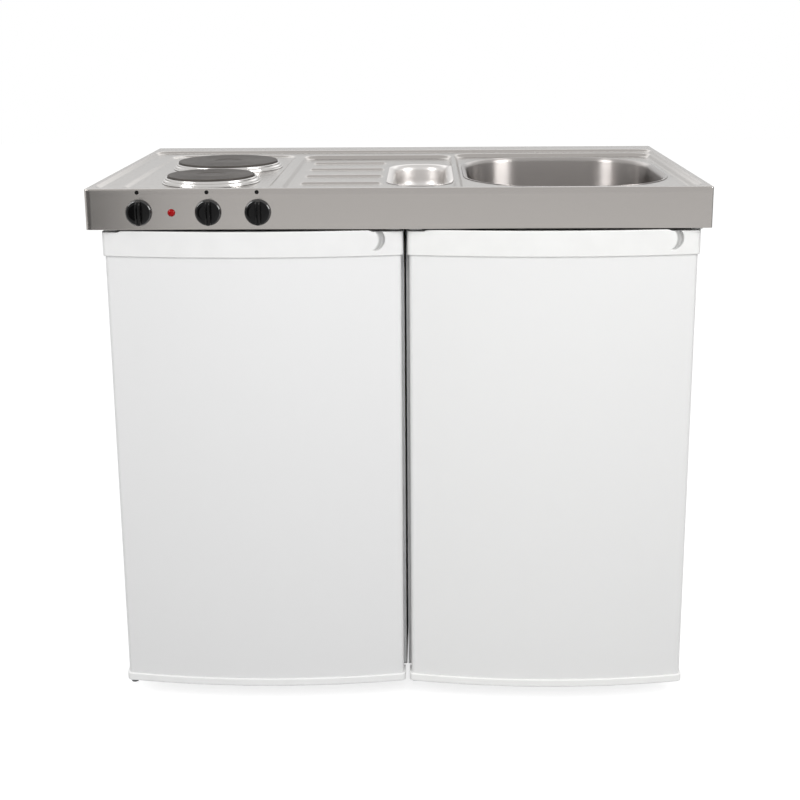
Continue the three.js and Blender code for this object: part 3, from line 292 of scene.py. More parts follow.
def shown(name: str, surface: Sheet | bpy.types.Mesh, stock: Stock, stands_for: Sequence[str] = (),
          body: str = "cabinet", thickness: float = 0.0, crease: float = 40.0) -> bpy.types.Object:
    """Put a surface in the scene as a piece of the object.

    Args:
        name: the piece's name.
        surface: its sheet or its mesh, with the place in it.
        stock: its finish.
        stands_for: model nodes that it replaces.
        body: the body it rides on.
        thickness: wall in millimetres to give a single sheet, behind its faces.
        crease: angle in degrees past which an edge stays sharp.

    Returns:
        The Blender object.
    """
    mesh = surface.mesh(name) if isinstance(surface, Sheet) else surface
    finish = stock.value
    piece = bpy.data.objects.new(name, mesh)
    bpy.context.scene.collection.objects.link(piece)
    mesh.transform(Matrix.Translation((0, SHIFT * MM, 0)))
    mesh.set_sharp_from_angle(angle=math.radians(crease))
    mesh.materials.append(finish.material())
    if thickness:
        wall = piece.modifiers.new("wall", "SOLIDIFY")
        wall.thickness = thickness * MM
        wall.offset = -1
    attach(piece, body)
    if stands_for:
        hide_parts(*stands_for)
    LOG.info("%s: %d faces on %s", name, len(mesh.polygons), body)
    return piece


# ------------------------------------------------------------------ finishes


@dataclass
class Nodes:
    """A material's node tree with short ways to add and join nodes."""

    tree: bpy.types.NodeTree

    def add(self, kind: str, inputs: dict[str | int, Any] | None = None, **settings: Any) -> bpy.types.Node:
        """Add a node, set its properties, and set or link its inputs.

        Args:
            kind: node type without the ShaderNode prefix.
            inputs: input name or number to a value or an output socket.
            **settings: properties of the node.

        Returns:
            The new node.
        """
        node = self.tree.nodes.new("ShaderNode" + kind)
        for key, value in settings.items():
            setattr(node, key, value)
        for key, value in (inputs or {}).items():
            if isinstance(value, Socket):
                self.tree.links.new(value, node.inputs[key])
            else:
                node.inputs[key].default_value = value
        return node

    def math(self, operation: str, a: Any, b: Any = 0.0) -> Socket:
        """Result of one math step."""
        return self.add("Math", {0: a, 1: b}, operation=operation).outputs[0]

    def ramp(self, factor: Any, low: float, high: float, to_low: float = 0.0,
             to_high: float = 1.0) -> Socket:
        """Map a value from one range to another, held at the ends."""
        return self.add("MapRange", {0: factor, 1: low, 2: high, 3: to_low, 4: to_high}).outputs[0]

    def mix(self, factor: Any, a: Any, b: Any) -> Socket:
        """Blend of two colours."""
        ends = {6 + k: end if isinstance(end, Socket) else (*end, 1.0) for k, end in enumerate((a, b))}
        return self.add("Mix", {0: factor, **ends}, data_type="RGBA").outputs[2]

    def place(self, scale: Triple = (1, 1, 1), centre: Triple = (0, 0, 0)) -> Socket:
        """Object coordinates in metres, moved so that centre is the origin, then scaled."""
        source = self.add("TexCoord").outputs["Object"]
        moved = self.add("Mapping", {0: source, 1: tuple(-c for c in centre)}).outputs[0]
        return self.add("Mapping", {0: moved, 3: scale}).outputs[0]

    def noise(self, scale: float, detail: float = 3.0, rough: float = 0.5,
              where: Socket | None = None) -> Socket:
        """Noise value at a place, or in plain object coordinates."""
        place = self.place() if where is None else where
        inputs = {"Vector": place, "Scale": scale, "Detail": detail, "Roughness": rough}
        return self.add("TexNoise", inputs).outputs[0]

    def bump(self, height: Any, strength: float, distance: float, normal: Any = None) -> Socket:
        """Surface normal shaken by a height."""
        inputs = {"Height": height, "Strength": strength, "Distance": distance}
        if normal is not None:
            inputs["Normal"] = normal
        return self.add("Bump", inputs).outputs[0]


@dataclass(frozen=True)
class Finish:
    """A surface finish: its name, the record's slot and the shader's plain numbers."""

    name: str
    slot: str
    color: Triple
    roughness: float = 0.4
    metallic: float = 0.0
    specular: float = 0.5

    @cache
    def material(self) -> bpy.types.Material:
        """The Blender material, made once."""
        made = bpy.data.materials.new(self.name)
        made.use_nodes = True
        shader = made.node_tree.nodes["Principled BSDF"]
        for socket, value in (("Base Color", (*self.color, 1)), ("Roughness", self.roughness),
                              ("Metallic", self.metallic), ("Specular IOR Level", self.specular)):
            shader.inputs[socket].default_value = value
        for socket, value in self.build(Nodes(made.node_tree), shader).items():
            made.node_tree.links.new(value, shader.inputs[socket])
        return made

    def tone(self, share: float) -> Triple:
        """The colour made lighter or darker by a factor."""
        return tuple(c * share for c in self.color)

    def gloss(self, nodes: Nodes, spots: Any, low: float, high: float, end: float = 0.7) -> Socket:
        """Roughness that a noise moves between two shares of the finish's own."""
        return nodes.ramp(spots, 0.3, end, self.roughness * low, self.roughness * high)

    def build(self, nodes: Nodes, shader: bpy.types.Node) -> Sockets:
        """Pattern of the finish: sockets to link. Plain stock has faint mottling in tone and gloss."""
        spot = nodes.noise(140.0)
        wide = nodes.noise(9.0, 2.0)
        shade = nodes.mix(nodes.ramp(wide, 0.3, 0.7), self.tone(0.97), self.color)
        return {"Base Color": shade,
                "Roughness": self.gloss(nodes, spot, 0.9, 1.1)}


@dataclass(frozen=True)
class BrushedSteel(Finish):
    """Stainless sheet with fine grinding lines along one axis and soft handling marks."""

    grain: Triple = (0.6, 60.0, 60.0)
    depth: float = 0.06

    def build(self, nodes: Nodes, shader: bpy.types.Node) -> Sockets:
        """Stretched noise gives the lines, a wide one the marks; the polish attribute smooths the bends."""
        lines = nodes.noise(14.0, 6.0, 0.7, nodes.place(self.grain))
        fine = nodes.noise(22.0, 4.0, 0.6, nodes.place(tuple(4 * g for g in self.grain)))
        marks = nodes.noise(7.0, 4.0, 0.6)
        polish = nodes.add("Attribute", attribute_name="polish").outputs["Fac"]
        base = nodes.ramp(lines, 0.35, 0.65, self.roughness * 0.95, self.roughness * 1.05)
        worn = nodes.math("ADD", base, nodes.ramp(marks, 0.4, 0.75, -0.01, 0.02))
        rough = nodes.math("MULTIPLY", worn, nodes.ramp(polish, 0.0, 1.0, 1.0, 0.35))
        shade = nodes.mix(nodes.ramp(fine, 0.3, 0.7), self.tone(0.985), self.tone(1.01))
        strength = nodes.bump(lines, self.depth, 0.0004)
        return {"Base Color": shade, "Roughness": rough, "Normal": strength}


@dataclass(frozen=True)
class DrawnSteel(Finish):
    """Stainless bowl ground round its wall: reflections stretch up and down."""

    grain: Triple = (1.2, 1.2, 90.0)

    def build(self, nodes: Nodes, shader: bpy.types.Node) -> Sockets:
        """Level grinding lines are a noise fine in height, and the upright tangent stretches the gloss."""
        shader.inputs["Anisotropic"].default_value = 1.0
        lines = nodes.noise(14.0, 5.0, 0.7, nodes.place(self.grain))
        marks = nodes.noise(7.0, 4.0, 0.6)
        shade = nodes.mix(nodes.ramp(lines, 0.3, 0.7), self.tone(0.95), self.color)
        axis = nodes.add("CombineXYZ", {"Z": 1.0}).outputs[0]
        return {"Base Color": shade, "Tangent": axis, "Normal": nodes.bump(lines, 0.04, 0.0004),
                "Roughness": self.gloss(nodes, marks, 0.95, 1.08, 0.75)}


@dataclass(frozen=True)
class PolishedSteel(Finish):
    """Polished steel with the faint waves of spinning or pressing."""

    wave: float = 0.25

    def build(self, nodes: Nodes, shader: bpy.types.Node) -> Sockets:
        """A wide noise bends the reflections, and a fine one scatters the gloss."""
        swell = nodes.noise(26.0, 2.0)
        haze = nodes.noise(240.0, 3.0)
        return {"Roughness": self.gloss(nodes, haze, 0.7, 1.4),
                "Normal": nodes.bump(swell, self.wave, 0.0015)}


@dataclass(frozen=True)
class CastIron(Finish):
    """Turned cast iron plate: fine rings about its centre, a pitted skin and blotches in its tone."""

    centre: Triple = (0.0, 0.0, 0.0)

    def build(self, nodes: Nodes, shader: bpy.types.Node) -> Sockets:
        """Rings are a sine of the distance from the centre; pits are fine noise."""
        place = nodes.place(centre=self.centre)
        axes = nodes.add("SeparateXYZ", {0: place}).outputs
        radius = nodes.math("SQRT", nodes.math("ADD", nodes.math("MULTIPLY", axes[0], axes[0]),
                                               nodes.math("MULTIPLY", axes[1], axes[1])))
        rings = nodes.math("SINE", nodes.math("MULTIPLY", radius, 4200.0))
        pits = nodes.noise(900.0, 5.0, 0.7, place)
        blotch = nodes.noise(30.0, 4.0, 0.6, place)
        shade = nodes.mix(nodes.ramp(blotch, 0.3, 0.7), self.tone(0.82), self.tone(1.15))
        cut = nodes.bump(rings, 0.25, 0.0001)
        return {"Base Color": shade, "Normal": nodes.bump(pits, 0.35, 0.0004, cut),
                "Roughness": nodes.ramp(pits, 0.3, 0.7, self.roughness - 0.08, self.roughness + 0.1)}


@dataclass(frozen=True)
class Enamel(Finish):
    """Sprayed paint on steel: slight orange peel, and painted shade that darkens the paint a little towards the
    foot.
    """

    # share of the colour left at the floor: painted shade that darkens the lower part
    foot: float = 1.0

    def build(self, nodes: Nodes, shader: bpy.types.Node) -> Sockets:
        """Fine noise is the peel; a slow noise shifts tone and gloss; height darkens the lower part with
        painted shade.
        """
        peel = nodes.noise(420.0, 2.0, 0.4)
        slow = nodes.noise(5.0, 3.0)
        height = nodes.add("SeparateXYZ", {0: nodes.place()}).outputs[2]
        # painted shade: the colour darkens towards the floor by the share foot
        tone = nodes.mix(nodes.ramp(height, 0.03, 0.8), self.tone(self.foot), self.color)
        dull = nodes.mix(nodes.ramp(slow, 0.35, 0.65, 0.0, 0.05), tone, self.tone(0.94))
        return {"Base Color": dull, "Normal": nodes.bump(peel, 0.05, 0.0003),
                "Roughness": self.gloss(nodes, slow, 0.92, 1.08)}


@dataclass(frozen=True)
class Moulded(Finish):
    """Injection-moulded plastic with a fine grain and slight sink marks."""

    grain: float = 0.08

    def build(self, nodes: Nodes, shader: bpy.types.Node) -> Sockets:
        """Fine noise is the grain, a wide one the flow; the recess attribute darkens the end of a grip with
        painted shade.
        """
        skin = nodes.noise(1500.0, 3.0)
        flow = nodes.noise(24.0, 2.0)
        shade = nodes.mix(nodes.ramp(flow, 0.35, 0.65), self.tone(0.975), self.color)
        painted_recess_shade = nodes.add("Attribute", attribute_name="painted_recess_shade").outputs["Fac"]
        # painted shade: the end of the grip's crescent is darkened to stand for the shade inside the recess
        shade = nodes.mix(nodes.ramp(painted_recess_shade, 0.0, 1.0), shade, self.tone(0.66))
        return {"Base Color": shade, "Normal": nodes.bump(skin, self.grain, 0.0001),
                "Roughness": self.gloss(nodes, skin, 0.9, 1.12)}


@dataclass(frozen=True)
class Clear(Finish):
    """Clear glass or plastic that lets light through, with faint smears in its gloss."""

    ior: float = 1.5

    def build(self, nodes: Nodes, shader: bpy.types.Node) -> Sockets:
        """Wide noise is the smear; the shader's own transmission carries the light."""
        shader.inputs["Transmission Weight"].default_value = 0.92
        shader.inputs["IOR"].default_value = self.ior
        smear = nodes.noise(18.0, 3.0)
        return {"Roughness": self.gloss(nodes, smear, 0.5, 1.8, 0.8)}


class Stock(Enum):
    """The finishes of the unit."""

    WORKTOP = BrushedSteel("worktop_steel", "stainless", (0.385, 0.365, 0.347), 0.22, 1.0,
                           grain=(0.5, 70.0, 70.0), depth=0.012)
    BOWL = DrawnSteel("bowl_steel", "stainless", (0.4, 0.378, 0.365), 0.33, 1.0)
    BASIN = BrushedSteel("basin_steel", "stainless", (0.6, 0.58, 0.565), 0.42, 1.0, grain=(1.2, 1.2, 60.0),
                         depth=0.012)
    POLISHED = PolishedSteel("polished_steel", "polished", (0.56, 0.545, 0.53), 0.17, 1.0)
    # foot: share of the colour at the floor, painted shade that darkens each paint towards the bottom
    WHITE_BODY = Enamel("white_body", "white_paint", (0.82, 0.82, 0.82), 0.55, specular=0.2, foot=0.94)
    CREAM_BODY = Enamel("cream_body", "cream_paint", (0.83, 0.83, 0.825), 0.55, specular=0.2, foot=0.94)
    WHITE = Enamel("white_enamel", "white_paint", (0.84, 0.84, 0.84), 0.34, foot=0.9)
    CREAM = Enamel("cream_enamel", "cream_paint", (0.85, 0.85, 0.845), 0.34, foot=0.92)
    WHITE_TRIM = Moulded("white_moulding", "white_trim", (0.86, 0.86, 0.855), 0.33)
    CREAM_TRIM = Moulded("cream_moulding", "cream_trim", (0.885, 0.885, 0.872), 0.33)
    WHITE_PART = Moulded("white_part", "white_plastic", (0.82, 0.82, 0.81), 0.42)
    LINER = Moulded("liner_plastic", "liner", (0.84, 0.85, 0.85), 0.4)
    KNOB = Moulded("black_gloss", "black_knob", (0.0025, 0.0025, 0.0028), 0.1, specular=0.16, grain=0.01)
    SKIRT = Moulded("black_shine", "black_knob", (0.0025, 0.0025, 0.0028), 0.05, specular=0.8, grain=0.004)
    # black print of the lip's dots, and painted shade of the overflow and basket holes drawn as black discs
    PRINT_AND_HOLE_SHADE = Moulded("black_print_and_hole_shade", "black_knob", (0.004, 0.004, 0.004), 0.5, specular=0.12)
    BLACK = Moulded("black_plastic", "black_plastic", (0.02, 0.02, 0.021), 0.55, grain=0.3)
    BAKELITE = Moulded("brown_bakelite", "bakelite", (0.035, 0.026, 0.022), 0.45, grain=0.2)
    BLACK_STEEL = Enamel("black_steel", "black_steel", (0.02, 0.02, 0.022), 0.42)
    ZINC = BrushedSteel("zinc_steel", "galvanised", (0.56, 0.58, 0.59), 0.45, 1.0, grain=(9.0, 9.0, 9.0))
    RED = Moulded("red_lens", "red_lens", (0.32, 0.0015, 0.003), 0.12, specular=0.14, grain=0.0)
    GLASS = Clear("shelf_glass", "glass", (0.93, 0.98, 0.96), 0.02)
    CLEAR = Clear("clear_plastic", "clear_plastic", (0.93, 0.96, 0.97), 0.06, ior=1.49)
    GASKET = Moulded("gasket_rubber", "gasket", (0.72, 0.72, 0.7), 0.6, grain=0.2)
    FOAM = Moulded("cabinet_foam", "foam", (0.75, 0.66, 0.42), 0.95, grain=0.6)
    REAR_IRON = CastIron("rear_cast_iron", "cast_iron", (0.066, 0.058, 0.052), 0.62, 0.35,
                         centre=(-0.318, (33 + SHIFT) * MM, 0.9))
    FRONT_IRON = CastIron("front_cast_iron", "cast_iron", (0.062, 0.054, 0.048), 0.62, 0.35,
                          centre=(-0.318, (-163 + SHIFT) * MM, 0.9))


# ------------------------------------------------------------------ worktop


@dataclass(frozen=True)
class Field:
    """A pressed field of the worktop: its floor rectangle, its depth and the width of its wall."""

    left: float
    right: float
    front: float
    back: float
    radius: float
    drop: float
    slope: float

    def depth(self, x: Array, y: Array) -> Array:
        """Share of the full depth at a place: 1 on the floor, 0 past the wall, smooth between."""
        centre, half = spanned((self.left, self.front), (self.right, self.back))
        return 1.0 - smooth(rect_distance(x, y, centre, half, self.radius) / self.slope)


@dataclass(frozen=True)
class Opening:
    """An oblong bowl opening and the bowl under it."""

    centre: Pair
    half: Pair
    radius: float
    drop: float
    floor_radius: float
    bend: float

    def distance(self, x: Array, y: Array) -> Array:
        """Signed distance to the line where the flat sheet starts to bend into the bowl."""
        half = (self.half[0] + self.bend, self.half[1] + self.bend)
        return rect_distance(x, y, self.centre, half, self.radius + self.bend)

    def ring(self, inset: float) -> Array:
        """Contour at a distance inside the bowl's wall, negative for outside."""
        half = (self.half[0] - inset, self.half[1] - inset)
        return rounded_contour(self.centre, half, max(self.radius - inset, 2.0), 20, (16, 30))


@dataclass
class Worktop:
    """Pressed stainless worktop with its rolled lip, the main bowl and the small strainer basin."""

    half: Pair = (500.0, 300.0)
    top: float = 900.0
    lip: float = 66.0
    border: float = 10.0
    corner: float = 5.0
    edge: float = 2.2
    sheet: float = 1.2
    outer: Field = Field(-482, 482, -282, 232, 22, 4, 8)
    fields: tuple[Field, ...] = (
        Field(-442, -213, -266, 190, 26, 7, 7), Field(-182, 88, -266, 180, 24, 10, 9),
        Field(108, 474, -266, 200, 24, 10, 9))
    beads: tuple[float, ...] = (-176.0, -83.0, 10.0, 103.0)
    bead_ends: Pair = (-160.0, -36.0)
    bead_height: float = 3.2
    bead_half: float = 8.0
    dot_z: float = 894.2
    overflow_z: float = 859.0
    bowl: Opening = Opening((287.5, -17.0), (169.0, 199.0), 135.0, 150.0, 26.0, 7.0)
    basin: Opening = Opening((35.5, -61.0), (46.5, 136.0), 45.0, 46.0, 20.0, 10.0)

    def height(self, x: Array, y: Array) -> Array:
        """Height of the pressed sheet: the rim less each field's depth, plus the drainer's beads.

        A bead is a level bar with round ends: its height falls as a smooth curve from its middle line.
        """
        outer = self.outer.depth(x, y)
        level = self.top - self.outer.drop * outer
        for place in self.fields:
            level = level - (place.drop - self.outer.drop) * place.depth(x, y)
        for row in self.beads:
            along = np.maximum(np.maximum(self.bead_ends[0] - x, x - self.bead_ends[1]), 0.0)
            level = level + self.bead_height * (1.0 - smooth(np.hypot(along, y - row) / self.bead_half))
        return level

    def edge_line(self, inset: float, xs: Array, ys: Array) -> Array:
        """Outline of the worktop at an inset, with round corners, through the grid's own lines."""
        hx, hy, r = self.half[0] - inset, self.half[1] - inset, self.corner * (1 - inset / self.border)
        turn = np.linspace(0, math.pi / 2, 8)[1:-1]

        def arc(sx: int, sy: int, start: float) -> Array:
            """Quarter round at one corner."""
            angle = start + turn
            return cloud(sx * (hx - r) + r * np.cos(angle), sy * (hy - r) + r * np.sin(angle))

        return np.concatenate([cloud(xs, -hy), arc(1, -1, -math.pi / 2), cloud(hx, ys), arc(1, 1, 0),
                               cloud(xs[::-1], hy), arc(-1, 1, math.pi / 2),
                               cloud(-hx, ys[::-1]), arc(-1, -1, math.pi)])

    def top_sheet(self) -> bpy.types.Mesh:
        """Top and lip: a graded grid of the height, hole edges drawn onto the bend lines, and a lip."""
        lo_x, hi_x = -self.half[0] + self.border, self.half[0] - self.border
        lo_y, hi_y = -self.half[1] + self.border, self.half[1] - self.border
        walls_x = [(-490, -480, 1.25), (-451, -440, 1.25), (-215, -204, 1.25), (-193, -180, 1.25),
                   (86, 110, 1.25), (472, 490, 1.25), (-172, -156, 2.0), (-40, -26, 2.0), (-480, -454, 4),
                   (-242, -213, 4), (-24, 20, 3.2), (50, 90, 3.2), (106, 240, 3.8), (335, 474, 3.8)]
        walls_y = [(-290, -264, 1.25), (178, 242, 1.6), (-264, -240, 4), (150, 180, 4), (-240, -100, 4.0),
                   (40, 195, 4.0)]
        walls_y += [(row - 9, row + 9, 1.5) for row in self.beads]
        xs, ys = graded(lo_x, hi_x, walls_x, 11.0), graded(lo_y, hi_y, walls_y, 9.5)
        x, y = np.meshgrid(xs, ys)
        keep = np.ones((len(ys) - 1, len(xs) - 1), bool)
        for hole in (self.bowl, self.basin):
            far = hole.distance(x, y)
            outside = far > 0.6
            keep &= outside[:-1, :-1] | outside[:-1, 1:] | outside[1:, 1:] | outside[1:, :-1]
            slope_x = hole.distance(x + 0.01, y) - hole.distance(x - 0.01, y)
            slope_y = hole.distance(x, y + 0.01) - hole.distance(x, y - 0.01)
            size = np.maximum(np.hypot(slope_x, slope_y), 1e-9)
            near = np.minimum(far, 0.0)
            x, y = x - near * slope_x / size, y - near * slope_y / size
        sheet = Sheet().grid(cloud(x, y, self.height(x, y)), keep=keep)
        angle = np.linspace(0, math.pi / 2, 6)
        rows = [(self.border, self.top), (6.0, self.top)]
        rows += [(self.edge * (1 - math.sin(a)), self.top - self.edge * (1 - math.cos(a))) for a in angle]
        rows += [(0.0, z) for z in np.linspace(self.top - self.edge, self.top - self.lip + 0.4, 8)[1:]]
        rows += [(0.0, self.top - self.lip)]
        rings = [lifted(self.edge_line(e, xs, ys), z) for e, z in rows]
        return sheet.grid(np.stack(rings), closed=True, flip=True).mesh("worktop_sheet")

    def bowl_sheet(self, hole: Opening, drain: Pair, drain_radius: float) -> bpy.types.Mesh:
        """A drawn bowl: bend into the opening, wall with a slight draft, round floor corner, floor.

        The floor blends the last contour into the drain's circle along straight lines.
        """
        angle = np.linspace(0, math.pi / 2, 9)
        outer = hole.ring(-hole.bend - 0.6)
        start = self.height(outer[:, 0], outer[:, 1]) - 0.06
        rings = [lifted(outer, start)]
        rings += [lifted(hole.ring(-hole.bend * (1 - math.sin(a))), start - hole.bend * (1 - math.cos(a)))
                  for a in angle]
        floor = float(start.min()) - hole.drop + 0.06
        low, corner, draft = start - hole.bend, hole.floor_radius, 1.5
        rings += [lifted(hole.ring(draft * share), low + (floor + corner - low) * share)
                  for share in np.linspace(0, 1, 6)[1:]]
        rings += [lifted(hole.ring(draft + corner * (1 - math.cos(a))), floor + corner * (1 - math.sin(a)))
                  for a in angle[1:]]
        last = rings[-1][:, :2]
        around = np.arctan2(last[:, 1] - drain[1], last[:, 0] - drain[0])
        circle = cloud(drain[0] + drain_radius * np.cos(around), drain[1] + drain_radius * np.sin(around))
        rings += [lifted(last + (circle - last) * share, floor) for share in np.linspace(0, 1, 12)[1:]]
        return Sheet().grid(np.stack(rings), closed=True, flip=True).mesh("bowl_sheet")

    def build(self) -> None:
        """Make and dress the worktop, the bowls and the printed dots."""
        for name, mesh, most, stock, node, wall in (
            ("pressed_worktop", self.top_sheet(), 1.0, Stock.WORKTOP, "worktop", self.sheet),
            ("main_bowl", self.bowl_sheet(self.bowl, self.bowl.centre, 44.0), 1.0, Stock.BOWL,
             "sink_bowl", 1.0),
            ("small_basin", self.bowl_sheet(self.basin, BASIN_WASTE, 14.5), 0.3, Stock.BASIN,
             "strainer_basin", 1.0),
        ):
            self.polish(mesh, most)
            shown(name, mesh, stock, (node,), thickness=wall)
        for name, x in (("timer", -415.0), ("rear_plate", -303.5), ("front_plate", -223.5)):
            dot = spun([(0, 0.12), (3.0, 0.12), (3.3, 0.02), (3.3, -0.1)], 32)
            shown(f"{name}_dot", dot.place((x, -self.half[1], self.dot_z), TO_FRONT), Stock.PRINT_AND_HOLE_SHADE)
        rear = self.basin.centre[1] + self.basin.half[1]
        # the overflow holes are black discs on the basin's rear wall: painted shade in place of the openings
        for number, side in enumerate((-1, 1)):
            hole = spun([(0, 0.5), (2.9, 0.5), (3.1, -0.4)], 24)
            hole.place((self.basin.centre[0] + 8 + side * 8, rear - 1.7, self.overflow_z), TO_FRONT)
            shown(f"overflow_hole_shade_{number}", hole, Stock.PRINT_AND_HOLE_SHADE)

    def polish(self, mesh: bpy.types.Mesh, most: float) -> None:
        """Write the polish attribute: its most on the bowls' bends, fading out over the sheet around them."""
        def share(x: Array, y: Array, z: Array) -> Array:
            """Polish at a place: near a bend line and not down in a bowl."""
            near = np.minimum(np.abs(self.bowl.distance(x, y) + 3.0), np.abs(self.basin.distance(x, y) + 2.0))
            return most * (1.0 - smooth((near - 4.0) / 10.0)) * smooth((z - 876.0) / 6.0)

        mark(mesh, "polish", share)


# ------------------------------------------------------------------ hob and controls


@dataclass
class Hotplate:
    """Cast iron plate in its polished spill ring."""

    name: str
    centre: Pair
    radius: float
    finish: Stock
    top: float = 906.0
    floor: float = 893.0

    def build(self) -> None:
        """Revolve the plate, with its shallow middle and fine grooves, and the ring under its edge."""
        r, top = self.radius, self.top
        steps = np.linspace(27.0, r - 4.0, 90)
        grooves = cloud(steps, top - 0.12 + 0.1 * np.cos(steps * 3.1))
        edge = fillet([(r - 3.0, top), (r, top), (r, top - 8.6), (r - 4.0, top - 9.0), (r - 11.0, top - 9.0)],
                      [1.4, 0.8, 0.6])
        dish = [(0, top - 1.2), (12, top - 1.2), (22.5, top - 1.15), (24.2, top - 0.8), (25.2, top - 0.2)]
        under = top - 26.8
        plate = spun(np.concatenate([dish, grooves, edge]), 160)
        plate.join(spun([(r - 11.0, top - 9.0), (r - 12.0, top - 12.0), (r - 12.0, under), (4, under),
                         (0, under)], 96))
        plate.place((*self.centre, 0.0))
        shown(f"{self.name}_hotplate_iron", plate, self.finish, (f"{self.name}_hotplate",), crease=50)
        rise = self.floor
        ring = fillet([(r - 8.0, top - 9.4), (r + 0.7, top - 9.4), (r + 0.9, rise + 9.2),
                       (r + 3.2, rise + 9.0), (r + 3.6, rise + 5.6), (r + 6.6, rise + 4.6),
                       (r + 7.2, rise + 1.4), (r + 8.9, rise + 1.0), (r + 8.9, rise + 0.32)],
                      [0.5, 1.3, 1.3, 1.2, 1.4, 0.8, 0.4], 8)
        bed = spun(ring, 192).place((*self.centre, 0.0))
        shown(f"{self.name}_spill_ring_bend", bed, Stock.POLISHED, (f"{self.name}_spill_ring",),
              thickness=0.6)


@dataclass
class Knob:
    """Gloss black control knob: a skirt, a domed face and a grip bar across it."""

    name: str
    body: str
    x: float
    radius: float = 21.2
    height: float = 21.0
    bar: float = 4.6
    shift: float = 1.5
    gap: float = 0.35
    shoulder: float = 2.6
    z: float = 862.0
    front: float = LIP_Y

    def build(self) -> None:
        """Make the knob about its own axis, then turn it to the front of the lip."""
        r, place = self.radius, (self.x, self.front, self.z)
        face = fillet([(0.0, 8.4), (r - 6.0, 8.0), (r - 1.8, 6.4), (r - 0.2, 4.2), (r, 0.4),
                       (r - 1.2, self.gap), (0.0, self.gap)], [6.0, 3.0, 1.6, 0.4, 0.2], 8)
        outer = face[:, 0] > r - self.shoulder
        skirt = spun(face[outer][::-1], 96).place(place, TO_FRONT)
        shown(f"{self.name}_skirt", skirt, Stock.SKIRT, body=self.body)
        knob = spun(face[: int(np.argmax(outer)) + 1][::-1], 96)
        knob.join(spun([(0.0, self.gap), (r - self.shoulder, self.gap)], 96))
        t = np.linspace(0, 2 * math.pi, 96, endpoint=False)
        reach = r - 1.6
        rows = []
        for inset, z in ((0.0, 6.0), (0.0, 14.0), (0.25, 17.4), (0.7, 19.4), (1.5, 20.6),
                         (2.6, self.height - 0.05), (self.bar - 0.4, self.height)):
            px, py = (size * np.sign(wave) * np.abs(wave) ** (2.0 / 5.0) for size, wave in
                      ((self.bar - inset, np.cos(t)), (reach - inset, np.sin(t))))
            rows.append(cloud(px + self.shift, py, z - 2.2 * (np.abs(py) / reach) ** 2 * (z > 12)))
        knob.grid(np.stack(rows), closed=True, flip=True).place(place, TO_FRONT)
        shown(f"{self.name}_cap", knob, Stock.KNOB, (self.name,), body=self.body)


@dataclass
class Hob:
    """Two cast iron plates, three knobs and the red lamp."""

    lamp: Pair = (-361.0, 861.5)

    def build(self) -> None:
        """Make every piece of the hob."""
        Hotplate("rear", (-318.0, 33.0), 90.0, Stock.REAR_IRON).build()
        Hotplate("front", (-318.0, -163.0), 73.0, Stock.FRONT_IRON).build()
        for name, body, x in (("timer", "timer", -413.0), ("rear_plate", "rear_plate_control", -302.0),
                              ("front_plate", "front_plate_control", -222.6)):
            Knob(f"{name}_knob", body, x).build()
        dome = fillet([(0.0, 4.0), (4.0, 3.3), (5.9, 1.6), (6.2, 0.32), (5.0, 0.3), (0.0, 0.3)],
                      [2.0, 1.2, 0.4, 0.2], 6)
        lens = spun(dome[::-1], 64).place((self.lamp[0], LIP_Y, self.lamp[1]), TO_FRONT)
        shown("pilot_lamp_lens", lens, Stock.RED, ("pilot_lamp",))


# ------------------------------------------------------------------ doors


